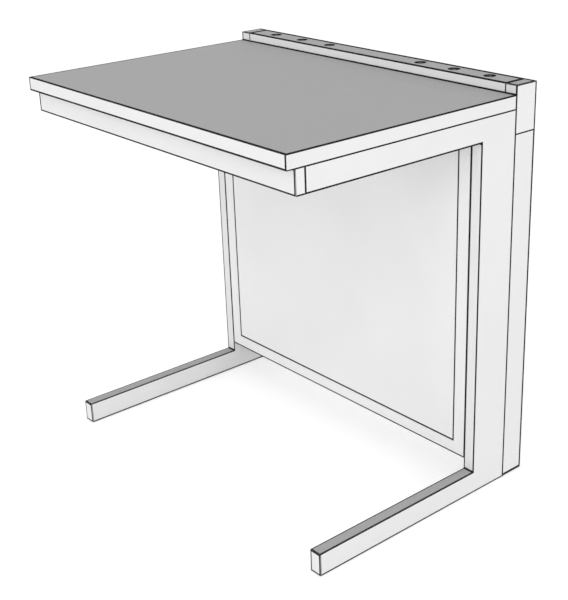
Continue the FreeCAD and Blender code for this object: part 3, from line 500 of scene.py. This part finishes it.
# C-frames: one welded shape from foot, upright and arm
cFrame = {"edge": 0.0007, "line": 0.0030, "padHole": 0.012, "pocket": 0.0135}
for side in sides:
    foot, upright, arm = (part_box(f"{side}_{part}_tube") for part in ("foot", "upright", "arm"))
    shape = newShape()
    outline = [(foot[0].y, 0.0), (foot[1].y, 0.0), (arm[1].y, arm[1].z), (arm[0].y, arm[1].z),
               (arm[0].y, arm[0].z), (upright[0].y, arm[0].z), (upright[0].y, foot[1].z),
               (foot[0].y, foot[1].z)]
    width = foot[1].x - foot[0].x
    prism(shape, [(foot[0].x, y, z) for y, z in outline], (width, 0, 0), cFrame["edge"], line=cFrame["line"])
    for facing in (-1, 1):  # the faces round the corner draw these lines
        for level in (foot[1].z, arm[1].z):
            setRim(shape, (facing, 0, 0), (0, 0, 1), cFrame["line"], level=level)
        for front in (foot[0].y, upright[0].y):
            setRim(shape, (facing, 0, 0), (0, -1, 0), cFrame["line"], level=-front)
    spots = [middle(f"{row}_{side}_leveller_pad") for row in ("front", "rear")]
    holes = [circle(shape, (spot.x, spot.y, 0.0), (0, 0, 1), cFrame["padHole"]) for spot in spots]
    openFace(shape, faceTowards(shape, (0, 0, -1)), holes)
    for hole in holes:
        sink(shape, hole, (0, 0, cFrame["pocket"]))
    piece(f"cFrame_{side}", shape, "frame", [paint["framePaint"]],
          [f"{side}_{part}_tube" for part in ("foot", "upright", "arm")])
print("C-frames made")


# Foot caps, and ribbed tread strips whose grey is painted shade on the feet's tops
footCap = {"edge": 0.0007, "line": 0.0030}
shape = newShape()
for side in sides:
    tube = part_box(f"{side}_foot_tube")
    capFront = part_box("foot_caps")[0].y
    slab(shape, Vector((tube[0].x, capFront, tube[0].z)), Vector((tube[1].x, tube[0].y, tube[1].z)),
         footCap["edge"], line=footCap["line"])
piece("footCaps", shape, "frame", [paint["mouldedPlastic"]], ["foot_caps"])

tread = {"edge": 0.0002, "line": 0.0030, "ribs": 7, "ribDepth": 0.0004, "margin": 0.0034}
for side in sides:
    low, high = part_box(f"{side}_foot_tread")
    shape = newShape()
    slab(shape, low, high - Vector((0, 0, tread["ribDepth"])), tread["edge"], segments=2, line=tread["line"])
    step = (high.x - low.x - 2 * tread["margin"]) / (2 * tread["ribs"] - 1)
    for number in range(tread["ribs"]):
        start = low.x + tread["margin"] + 2 * number * step
        slab(shape, Vector((start, low.y + tread["margin"], low.z)),
             Vector((start + step, high.y - tread["margin"], high.z)), 0.0)
    # the treads' grey is painted shade, and its lifted tone is painted light
    piece(f"footTread_{side}", shape, "frame", [paint["treadGreyPaintedShadeAndLight"]],
          [f"{side}_foot_tread"])
print("feet dressed")


# Apron tube, its end caps and the two cross rails
rail = {"edge": 0.0007, "line": 0.0028, "capEdge": 0.0006}
for name, node in (("apron", "front_apron"), ("crossRail_upper", "upper_cross_rail"),
                   ("crossRail_lower", "lower_cross_rail")):
    shape = newShape()
    slab(shape, *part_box(node), rail["edge"], line=rail["line"])
    piece(name, shape, "frame", [paint["framePaint"]], [node])
apronLow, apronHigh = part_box("front_apron")
capsLow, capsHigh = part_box("apron_caps")
shape = newShape()
slab(shape, capsLow, Vector((apronLow.x, capsHigh.y, capsHigh.z)), rail["capEdge"], line=rail["line"])
slab(shape, Vector((apronHigh.x, capsLow.y, capsLow.z)), capsHigh, rail["capEdge"], line=rail["line"])
for end in (-1, 1):  # the edge band, the arms and the apron draw these lines
    for towards in ((0, 0, 1), (0, 1, 0), (0, -1, 0)):
        setRim(shape, (end, 0, 0), towards, rail["line"])
piece("apronCaps", shape, "frame", [paint["mouldedPlastic"]], ["apron_caps"])
print("apron and cross rails made")


# Worktop: laminate with a dark cut edge over a ring of edge band
worktop = {"edge": 0.0004, "line": 0.0052, "bandEdge": 0.0007, "bandLine": 0.0034, "armLine": 0.0018}
shape = newShape()
slab(shape, *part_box("worktop_laminate"), worktop["edge"], segments=2, line=worktop["line"])
shape.normal_update()
for face in shape.faces:
    face.material_index = 0 if face.normal.z > 0.5 else 1
# the top face's grey is painted shade
piece("worktopLaminate", shape, "frame", [laminate, phenolic], ["worktop_laminate"])

low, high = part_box("front_edge_band")[0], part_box("rear_edge_band")[1]
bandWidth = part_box("front_edge_band")[1].y - low.y
inset = Vector((bandWidth, bandWidth, 0))
shape = newShape()
prism(shape, levelRing(low, high, low.z), (0, 0, high.z - low.z), worktop["bandEdge"],
      line=worktop["bandLine"])
for facing in ((1, 0, 0), (-1, 0, 0), (0, 1, 0), (0, -1, 0)):  # the laminate draws the line along the top
    setRim(shape, facing, (0, 0, 1), worktop["bandLine"])
for facing in (-1, 1):
    setRim(shape, (facing, 0, 0), (0, -1, 0), worktop["bandLine"])
    setRim(shape, (facing, 0, 0), (0, 0, -1), worktop["bandLine"], worktop["armLine"])
loops = []
for direction, z in (((0, 0, 1), high.z), ((0, 0, -1), low.z)):
    ring = frameOf(shape, levelRing(low + inset, high - inset, z))
    openFace(shape, faceTowards(shape, direction), [ring])
    loops += ring
bmesh.ops.bridge_loops(shape, edges=loops)
piece("edgeBand", shape, "frame", [paint["bandPlastic"]],
      ["front_edge_band", "rear_edge_band", "left_edge_band", "right_edge_band"])

bead = {"reach": 0.0016, "rise": 0.0022, "swellReach": 0.0005, "swellRise": 0.0013}
joint = Vector((cadBounds[0].x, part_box("rail_fascia")[0].y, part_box("worktop_laminate")[1].z))
points = [joint + Vector((0, -reach, rise)) for reach, rise in (
    (0, 0), (bead["reach"], 0), (bead["swellReach"], bead["swellRise"]), (0, bead["rise"]))]
shape = newShape()
prism(shape, points, (cadBounds[1].x - cadBounds[0].x, 0, 0))
piece("sealBead", shape, "frame", [rubber], [])
print("worktop made")


# Rear posts with plug seats, plugs and floor caps
post = {"edge": 0.0007, "line": 0.0046, "seamLine": 0.0018, "rearLine": 0.0014, "seat": 0.009,
        "seatDepth": 0.002, "seatLine": 0.0009, "plugLevels": (0.150, 0.425, 0.700), "plugEdge": 0.0006,
        "plugDish": 0.0007, "dishShare": 0.6, "slopeShare": 0.72, "plugClear": 0.0001, "capEdge": 0.0006,
        "capLine": 0.0012}
back = cadBounds[1].y
plugShape = newShape()
for side in sides:
    low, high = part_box(f"{side}_rear_post")
    shape = newShape()
    slab(shape, low, high, post["edge"], line=post["line"])
    for facing in (-1, 1):  # the upright draws the line in front
        setRim(shape, (facing, 0, 0), (0, -1, 0), post["line"])
        setRim(shape, (facing, 0, 0), (0, 0, 1), post["line"], post["seamLine"])
        setRim(shape, (0, 1, 0), (facing, 0, 0), post["line"], post["rearLine"])
    spots = [((low.x + high.x) / 2, back, level) for level in post["plugLevels"]]
    for seat in rimmedHoles(shape, (0, 1, 0), spots, post["seat"], post["seatLine"]):
        sink(shape, seat, (0, -post["seatDepth"], 0))
    piece(f"rearPost_{side}", shape, "frame", [paint["framePaint"]], [f"{side}_rear_post"])
    rim, edge = post["seat"] - post["plugClear"], post["plugEdge"]
    dish, foot = -post["plugDish"], -post["seatDepth"]
    profile = [(0, dish), (rim * post["dishShare"], dish), (rim * post["slopeShare"], -post["plugClear"]),
               (rim - edge, 0), (rim, -edge), (rim, foot), (0, foot)]
    for spot in spots:  # each plug: a shallow dish with a raised rim, flush with the post
        lathe(plugShape, profile, spot, (0, 1, 0))
piece("postPlugs", plugShape, "frame", [paint["mouldedPlastic"]], ["post_plugs"])
low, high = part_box("post_caps")
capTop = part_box("left_rear_post")[0].z
shape = newShape()
for side in sides:
    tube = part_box(f"{side}_rear_post")
    slab(shape, Vector((tube[0].x, low.y, low.z)), Vector((tube[1].x, high.y, capTop)), post["capEdge"],
         line=post["capLine"])
piece("postCaps", shape, "frame", [paint["mouldedPlastic"]], ["post_caps"])
print("rear posts made")


# End blocks: moulded cups with lugs, and their covers, whose grey is painted shade on the blocks' tops
block = {"edge": 0.0007, "line": 0.0038, "rearLine": 0.0014, "wall": 0.003, "lugEdge": 0.001,
         "lugBottom": 0.806, "lugTop": 0.850, "lugGap": 0.0022, "lugThickness": 0.007, "lugRoot": 0.010,
         "coverEdge": 0.0006, "coverLine": 0.0042, "coverRear": 0.0085}
for side in sides:
    low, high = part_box(f"{side}_end_block")
    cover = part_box(f"{side}_end_cover")
    bodyLow = Vector((cover[0].x, cover[0].y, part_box(f"{side}_rear_post")[1].z))
    bodyHigh = Vector((cover[1].x, cover[1].y, cover[0].z))
    inwards = -1 if side == "right" else 1
    mouth = bodyLow.x if side == "right" else bodyHigh.x
    shape = newShape()
    slab(shape, bodyLow, bodyHigh, block["edge"], line=block["line"])
    for towards in ((0, -1, 0), (0, 0, -1), (0, 0, 1)):  # its front, the post and the cover draw these
        setRim(shape, (-inwards, 0, 0), towards, block["line"])
    for towards in ((inwards, 0, 0), (0, 0, 1)):
        setRim(shape, (0, -1, 0), towards, block["line"])
    for towards in ((1, 0, 0), (-1, 0, 0), (0, 0, 1), (0, 0, -1)):
        setRim(shape, (0, 1, 0), towards, block["line"], block["rearLine"])
    wall = Vector((0, block["wall"], block["wall"]))
    cupLow, cupHigh = bodyLow + wall, bodyHigh - wall
    loop = frameOf(shape, [(mouth, cupLow.y, cupLow.z), (mouth, cupHigh.y, cupLow.z),
                           (mouth, cupHigh.y, cupHigh.z), (mouth, cupLow.y, cupHigh.z)])
    openFace(shape, faceTowards(shape, (inwards, 0, 0)), [loop])
    sink(shape, loop, (-inwards * (bodyHigh.x - bodyLow.x - block["wall"]), 0, 0))
    lugX = sorted((mouth - inwards * block["lugRoot"], low.x if side == "right" else high.x))
    for lugY in (bodyLow.y + block["lugGap"], bodyHigh.y - block["lugGap"] - block["lugThickness"]):
        slab(shape, Vector((lugX[0], lugY, block["lugBottom"])),
             Vector((lugX[1], lugY + block["lugThickness"], block["lugTop"])), block["lugEdge"],
             segments=2)
    piece(f"endBlock_{side}", shape, "frame", [paint["mouldedPlastic"]],
          [f"{side}_end_block"])
    shape = newShape()
    slab(shape, *cover, block["coverEdge"], segments=2, line=block["coverLine"])
    setRim(shape, (0, 0, 1), (0, 1, 0), block["coverLine"], block["coverRear"])
    # the covers' grey is painted shade
    piece(f"endCover_{side}", shape, "frame", [paint["coverGreyPaintedShade"]],
          [f"{side}_end_cover"])
print("end blocks made")


# Service rail: folded front and back sheets, with the port plate between their rims
hood = {"sheet": 0.002, "edge": 0.0006, "line": 0.0012, "plate": 0.004, "screwSeat": 0.0037,
        "seatLine": 0.0007, "seatDepth": 0.0016, "screwX": 0.4075, "screwLevels": (0.816, 0.840)}
for name, node, outer in (("railFascia", "rail_fascia", -1), ("railBack", "rail_back", 1)):
    low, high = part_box(node)
    face, tip = (low.y, high.y) if outer < 0 else (high.y, low.y)
    inner = face - outer * hood["sheet"]
    shelf, under = high.z - hood["plate"], high.z - hood["plate"] - hood["sheet"]
    outline = [(face, low.z), (inner, low.z), (inner, under), (tip, under), (tip, shelf), (inner, shelf),
               (inner, high.z), (face, high.z)]
    shape = newShape()
    prism(shape, [(low.x, y, z) for y, z in outline], (high.x - low.x, 0, 0), hood["edge"], segments=2,
          line=hood["line"])
    if outer > 0:
        spots = [(x, face, z) for x in (-hood["screwX"], hood["screwX"]) for z in hood["screwLevels"]]
        for seat in rimmedHoles(shape, (0, 1, 0), spots, hood["screwSeat"], hood["seatLine"], steps=24):
            sink(shape, seat, (0, -hood["seatDepth"], 0))
    layer = shape.faces.layers.float["edgeLine"]
    for cut in (item for item in shape.faces if item.calc_center_median().z > high.z - hood["edge"]):
        cut[layer] = 1.0  # the sheet's cut upper edge
    # the rail's coat holds painted light
    piece(name, shape, "frame", [paint["railPaintWithPaintedLight"]], [node])

port = {"edge": 0.0006, "line": 0.0050, "rearLine": 0.0085, "bore": 0.008, "sleeve": 0.009,
        "clear": 0.00008, "lip": 0.0015, "lipRadius": 0.0114, "ring": 0.0136, "ringDepth": 0.0012,
        "soft": 0.0003, "lap": 0.0010, "mouth": 0.0057, "steps": 48}
portMounts = [mount for mount in frame["record"]["mounts"] if mount["name"].startswith("port_")]
low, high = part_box("rail_port_plate")
top = high.z
spots = [Vector((mount["pos_m"][0], mount["pos_m"][1], top)) for mount in portMounts]
shape = newShape()
slab(shape, low, high, port["edge"], segments=2, line=port["line"])
setRim(shape, (0, 0, 1), (0, 1, 0), port["line"], port["rearLine"])
seats = [circle(shape, spot, (0, 0, 1), port["ring"] + port["clear"], port["steps"]) for spot in spots]
openFace(shape, faceTowards(shape, (0, 0, 1)), seats)
drop = Vector((0, 0, port["ringDepth"]))
below = Vector((0, 0, high.z - low.z))
through = port["sleeve"] + port["clear"]
lowerRims = [circle(shape, spot - below, (0, 0, 1), through, port["steps"]) for spot in spots]
openFace(shape, faceTowards(shape, (0, 0, -1)), lowerRims)
for spot, seat, lowerRim in zip(spots, seats, lowerRims):
    floor = sink(shape, seat, -drop)
    upperRim = circle(shape, spot - drop, (0, 0, 1), through, port["steps"])
    openFace(shape, floor, [upperRim])
    bmesh.ops.bridge_loops(shape, edges=upperRim + lowerRim)
# the plate's grey is painted shade
piece("portPlate", shape, "frame", [paint["plateGreyPaintedShade"]], ["rail_port_plate"])

seatZ = low.z - top  # underside of the plate, from its top
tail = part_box("port_ferrules")[0].z - top
bore, sleeve, lip, lipOut = (port[name] for name in ("bore", "sleeve", "lip", "lipRadius"))
ring, depth, soft, lap, mouth = (port[name] for name in ("ring", "ringDepth", "soft", "lap", "mouth"))
sleeveProfile = [(bore, tail), (sleeve, tail), (sleeve, seatZ - lip), (lipOut, seatZ - lip), (lipOut, seatZ),
                 (sleeve, seatZ), (sleeve, -lap), (bore, -lap)]
ringProfile = [(sleeve, -depth), (ring, -depth), (ring, -soft), (ring - soft, 0), (mouth + soft, 0),
               (mouth, -soft), (mouth, -lap), (sleeve, -lap)]
sleeveShape, ringShape = newShape(), newShape()
for spot in spots:  # the ring's soft lip laps over the rim of the sleeve
    lathe(sleeveShape, sleeveProfile, spot, closed=True, steps=port["steps"])
    lathe(ringShape, ringProfile, spot, closed=True, steps=port["steps"])
piece("portFerrules", sleeveShape, "frame", [ferrule], ["port_ferrules"])
piece("portRings", ringShape, "frame", [rubber], ["port_rings"])
print("service rail made")


# Rear panel: rebated frame, infill and the seal line between them
panel = {"edge": 0.0006, "line": 0.0030, "border": 0.030, "topBorder": 0.015, "ledge": 0.010,
         "rebate": 0.008, "rearLine": 0.0014, "infillEdge": 0.0005, "infillLine": 0.0018}
low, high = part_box("panel_frame")
shape = newShape()
slab(shape, low, high, panel["edge"], line=panel["line"])
for end in (-1, 1):  # the uprights draw the lines beside the panel
    setRim(shape, (0, -1, 0), (end, 0, 0), panel["line"])


def panelLoop(shape, y, extra):
    left, right = low.x + panel["border"] + extra, high.x - panel["border"] - extra
    bottom, upper = low.z + panel["border"] + extra, high.z - panel["topBorder"] - extra
    return frameOf(shape, [(left, y, bottom), (right, y, bottom), (right, y, upper), (left, y, upper)])


frontLoop = panelLoop(shape, low.y, 0.0)
openFace(shape, faceTowards(shape, (0, -1, 0)), [frontLoop])
backRim = panelLoop(shape, high.y, panel["ledge"] - panel["rearLine"])
openFace(shape, faceTowards(shape, (0, 1, 0)), [backRim])
backLoop = darkRim(shape, backRim, panel["rearLine"])
floor = sink(shape, frontLoop, (0, panel["rebate"], 0))
ledgeLoop = panelLoop(shape, low.y + panel["rebate"], panel["ledge"])
openFace(shape, floor, [ledgeLoop])
layer = shape.faces.layers.float["edgeLine"]
for face in bmesh.ops.bridge_loops(shape, edges=ledgeLoop + backLoop)["faces"]:
    face[layer] = 0.0
# the frame's and the infill's lacquer hold painted light
piece("panelFrame", shape, "rear_panel", [paint["panelLacquerWithPaintedLight"]], ["panel_frame"])
shape = newShape()
slab(shape, *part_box("panel_infill"), panel["infillEdge"], segments=2, line=panel["infillLine"])
piece("panelInfill", shape, "rear_panel", [paint["panelLacquerWithPaintedLight"]], ["panel_infill"])
print("rear panel made")


# Folded brackets: angle plates with rounded bends
plate = {"bend": 0.0024, "edge": 0.0004, "line": 0.0008, "crispAngle": 1.0}


def anglePlates(name, node, thickness, along, places):
    shape = newShape()
    for corner, legA, legB, length in places:
        corner, legA, legB = Vector(corner), Vector(legA), Vector(legB)
        inA, inB = legA.normalized() * thickness, legB.normalized() * thickness
        points = [corner, corner + legA, corner + legA + inB, corner + inA + inB, corner + legB + inA,
                  corner + legB]
        profile = prism(shape, points, Vector(along) * length)
        bends = [edge for vert in (profile[0], profile[3]) for edge in vert.link_edges
                 if edge.other_vert(vert) not in profile]
        roundEdges(shape, bends, plate["bend"], segments=4)
    crisp = [edge for edge in shape.edges if edge.calc_face_angle(0.0) > plate["crispAngle"]]
    roundEdges(shape, crisp, plate["edge"], segments=2, line=plate["line"])
    piece(name, shape, "frame", [paint["bracketPaint"]], [node])


legs = {"corner": 0.036, "thick": 0.003, "top": 0.028, "topLength": 0.040, "catch": 0.034,
        "catchThick": 0.002, "catchLength": 0.044}
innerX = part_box("right_arm_tube")[0].x
for name, node in (("apronBrackets", "apron_brackets"), ("upperRailBrackets", "upper_rail_brackets"),
                   ("lowerRailBrackets", "lower_rail_brackets")):
    low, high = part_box(node)
    start, reach = (low.y, legs["corner"]) if node == "apron_brackets" else (high.y, -legs["corner"])
    places = [((sign * innerX, start, low.z), (-sign * legs["corner"], 0, 0), (0, reach, 0), high.z - low.z)
              for sign in (-1, 1)]
    anglePlates(name, node, legs["thick"], (0, 0, 1), places)
low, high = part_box("worktop_brackets")
length = legs["topLength"]
places = [((sign * innerX, start, high.z), (-sign * legs["top"], 0, 0), (0, 0, -legs["top"]), length)
          for sign in (-1, 1) for start in (low.y, high.y - length)]
anglePlates("worktopBrackets", "worktop_brackets", legs["thick"], (0, 1, 0), places)
low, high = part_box("catch_brackets")
length = legs["catchLength"]
places = [((sign * innerX, low.y, start), (-sign * legs["catch"], 0, 0), (0, legs["catch"], 0), length)
          for sign in (-1, 1) for start in (low.z, high.z - length)]
anglePlates("catchBrackets", "catch_brackets", legs["catchThick"], (0, 0, 1), places)

wall = {"thick": 0.004, "edge": 0.0006, "line": 0.0009, "hole": 0.0045, "holeX": 0.300}
low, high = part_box("wall_bar")
inner = high.y - wall["thick"]
outline = [(low.x, low.y), (low.x + wall["thick"], low.y), (low.x + wall["thick"], inner),
           (high.x - wall["thick"], inner), (high.x - wall["thick"], low.y), (high.x, low.y),
           (high.x, high.y), (low.x, high.y)]
shape = newShape()
prism(shape, [(x, y, low.z) for x, y in outline], (0, 0, high.z - low.z), wall["edge"], line=wall["line"])
level = (low.z + high.z) / 2
backSpots, frontSpots = ([(x, y, level) for x in (-wall["holeX"], wall["holeX"])] for y in (high.y, inner))
backRims = rimmedHoles(shape, (0, 1, 0), backSpots, wall["hole"], wall["line"], steps=32)
frontRims = rimmedHoles(shape, (0, -1, 0), frontSpots, wall["hole"], wall["line"], steps=32)
for backRim, frontRim in zip(backRims, frontRims):
    bmesh.ops.bridge_loops(shape, edges=backRim + frontRim)
piece("wallBar", shape, "frame", [paint["bracketPaint"]], ["wall_bar"])
print("brackets and wall bar made")


# Levelling feet: a nylon pad, and a spindle with a cut thread and a hexagon collar
leveller = {"padRadius": 0.0115, "padHeight": 0.006, "chamfer": 0.001, "hollow": 0.0004, "hollowShare": 0.55,
            "soleShare": 0.6, "wallShare": 0.55, "brow": 0.0015, "browShare": 0.8, "domeDrop": 0.0004,
            "domeShare": 0.62, "topShare": 0.55, "socketFloor": 0.002, "clear": 0.0001, "pivot": 0.0042,
            "collar": 0.0075, "collarHeight": 0.005, "tipLength": 0.0006, "tipIn": 0.0008, "root": 0.0043,
            "crest": 0.005, "bite": 0.0001, "pitch": 0.0015, "ridgeShare": 0.42, "steps": 24}
for corner in corners:
    body = f"{corner}_leveller"
    centre = middle(f"{corner}_leveller_pad")
    ground = Vector((centre.x, centre.y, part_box(f"{corner}_leveller_pad")[0].z))
    radius, height, cut = leveller["padRadius"], leveller["padHeight"], leveller["chamfer"]
    socket = leveller["pivot"] + leveller["clear"]
    sole = [(0, leveller["hollow"]), (radius * leveller["hollowShare"], leveller["hollow"]),
            (radius * leveller["soleShare"], 0), (radius - cut, 0), (radius, cut)]
    dome = [(radius, height * leveller["wallShare"]),
            (radius - leveller["brow"], height * leveller["browShare"]),
            (radius * leveller["domeShare"], height - leveller["domeDrop"]),
            (radius * leveller["topShare"], height)]
    hole = [(socket, height), (socket, leveller["socketFloor"]), (0, leveller["socketFloor"])]
    shape = newShape()
    lathe(shape, sole + dome + hole, ground)
    piece(f"{corner}_pad", shape, body, [nylon], [f"{corner}_leveller_pad"])
    low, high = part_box(f"{corner}_leveller_spindle")
    start = low.z - ground.z
    end = high.z - ground.z
    shape = newShape()
    shoulder = height + leveller["clear"]
    rodLow = shoulder + leveller["collarHeight"]
    root, crest, pivot = (leveller[name] for name in ("root", "crest", "pivot"))
    lathe(shape, [(0, start), (pivot, start), (pivot, shoulder), (root, rodLow),
                  (root, end - leveller["tipLength"]), (root - leveller["tipIn"], end), (0, end)], ground)
    hexagon = bmesh.ops.create_circle(shape, cap_ends=True, segments=6, radius=leveller["collar"],
                                      matrix=Matrix.Translation(ground + Vector((0, 0, shoulder))))["verts"]
    raised = bmesh.ops.extrude_face_region(shape, geom=list(hexagon[0].link_faces))["geom"]
    lifted = [item for item in raised if isinstance(item, bmesh.types.BMVert)]
    bmesh.ops.translate(shape, vec=(0, 0, leveller["collarHeight"]), verts=lifted)
    old = set(shape.verts)
    half = leveller["pitch"] * leveller["ridgeShare"]
    inside = root - leveller["bite"]  # the ridge's foot lies a little inside the rod
    first = [shape.verts.new(point) for point in ((inside, 0, -half), (crest, 0, 0), (inside, 0, half))]
    turns = (end - rodLow - 2 * leveller["pitch"]) / leveller["pitch"]
    steps = int(turns * leveller["steps"])
    bmesh.ops.spin(shape, geom=[shape.faces.new(first)], cent=(0, 0, 0), axis=(0, 0, 1),
                   dvec=(0, 0, leveller["pitch"] / leveller["steps"]),
                   angle=2 * math.pi * steps / leveller["steps"], steps=steps)
    ridge = [vert for vert in shape.verts if vert not in old]
    bmesh.ops.translate(shape, vec=ground + Vector((0, 0, rodLow + leveller["pitch"])), verts=ridge)
    piece(f"{corner}_spindle", shape, body, [zinc], [f"{corner}_leveller_spindle"])
print("levellers made")


# CAD nodes that stay as they are, with their finish
kept = {
    "worktop_core": particleBoard(), "worktop_backing": backingSheet(), "panel_gasket": rubber,
    "frame_screws": zinc, "worktop_screws": zinc, "rail_screws": zinc, "post_bolts": zinc,
    "panel_studs": zinc, "leveller_inserts": zinc, "catch_sockets": paint["mouldedPlastic"],
}
for node, finish in kept.items():
    slots = frame["nodes"][node].data.materials
    slots.clear()
    slots.append(finish.owner)
print("kept nodes finished:", len(kept))


# Studio: white floor, even sky, soft lamps
studio = {"sky": 0.74, "floorTone": 0.90, "floorLift": 0.34, "floorSize": 60.0, "floorDrop": 0.0002,
          "aimHeight": 0.45}
scene = bpy.context.scene
scene.view_settings.view_transform = "Standard"


def shownRays(tree):  # above 0 where the picture, a reflection or glass shows the surface
    camera, glossy, clear = (tree.node("ShaderNodeLightPath", {}, {}, f"Is {kind} Ray")
                             for kind in ("Camera", "Glossy", "Transmission"))
    return tree.node("ShaderNodeMath", {"operation": "ADD", "use_clamp": True},
                     {0: camera + glossy, 1: clear})


world = bpy.data.worlds.new("studioSky")
scene.world = world
sky = Nodes(world)
white = sky.node("ShaderNodeBackground", {}, {"Color": grey(1.0), "Strength": 1.0})
even = sky.node("ShaderNodeBackground", {}, {"Color": grey(1.0), "Strength": studio["sky"]})
mixed = sky.node("ShaderNodeMixShader", {}, {0: shownRays(sky), 1: even, 2: white})
sky.feed(sky.tree.nodes["World Output"].inputs["Surface"], mixed)

shape = bmesh.new()
bmesh.ops.create_grid(shape, x_segments=1, y_segments=1, size=studio["floorSize"] / 2)
floorMesh = bpy.data.meshes.new("studioFloor")
shape.to_mesh(floorMesh)
shape.free()
floorObject = bpy.data.objects.new("studioFloor", floorMesh)
floorObject.location.z = -studio["floorDrop"]
scene.collection.objects.link(floorObject)
paleFloor = Nodes(bpy.data.materials.new("paleFloor"))
lit = paleFloor.node("ShaderNodeBsdfDiffuse", {}, {"Color": grey(studio["floorTone"])})
glow = shownRays(paleFloor) * studio["floorLift"]
lift = paleFloor.node("ShaderNodeEmission", {}, {"Color": grey(1.0), "Strength": glow})
both = paleFloor.node("ShaderNodeAddShader", {}, {0: lit, 1: lift})
clear = paleFloor.node("ShaderNodeBsdfTransparent", {}, {})
under = paleFloor.node("ShaderNodeNewGeometry", {}, {}, "Backfacing")
oneWay = paleFloor.node("ShaderNodeMixShader", {}, {0: under, 1: both, 2: clear})  # see-through from below
paleFloor.feed(paleFloor.tree.nodes["Material Output"].inputs["Surface"], oneWay)
floorMesh.materials.append(paleFloor.owner)

lamps = {
    "key": {"place": (2.6, -3.2, 3.4), "size": 2.6, "power": 36.0},
    "front": {"place": (-2.4, -7.2, 0.9), "size": 4.0, "power": 130.0},
    "side": {"place": (5.6, 0.6, 1.1), "size": 3.4, "power": 62.0},
}
for name, lamp in lamps.items():
    light = bpy.data.lights.new(name, "AREA")
    light.energy = lamp["power"]
    light.size = lamp["size"]
    lampObject = bpy.data.objects.new(name, light)
    lampObject.location = lamp["place"]
    aim = Vector((0, 0, studio["aimHeight"])) - Vector(lamp["place"])
    lampObject.rotation_euler = aim.to_track_quat("-Z", "Y").to_euler()
    scene.collection.objects.link(lampObject)

view = {"azimuth": 49.25, "elevation": 21.78, "roll": 1.41, "place": (1.9405, -1.5348, 1.4246),
        "sensor": 36.0, "lens": 70.40, "shift": (-0.0674, -0.0412)}
azimuth, elevation, roll = (math.radians(view[name]) for name in ("azimuth", "elevation", "roll"))
ahead = Vector((-math.sin(azimuth) * math.cos(elevation), math.cos(azimuth) * math.cos(elevation),
                -math.sin(elevation)))
level = ahead.cross(Vector((0, 0, 1))).normalized()
down = ahead.cross(level)
right = level * math.cos(roll) + down * math.sin(roll)
up = level * math.sin(roll) - down * math.cos(roll)
cameraData = bpy.data.cameras.new("photoCamera")
cameraData.sensor_width = view["sensor"]
cameraData.lens = view["lens"]
cameraData.shift_x, cameraData.shift_y = view["shift"]
camera = bpy.data.objects.new("photoCamera", cameraData)
camera.matrix_world = Matrix.Translation(view["place"]) @ Matrix((right, up, -ahead)).transposed().to_4x4()
scene.collection.objects.link(camera)
scene.camera = camera
print("studio set")
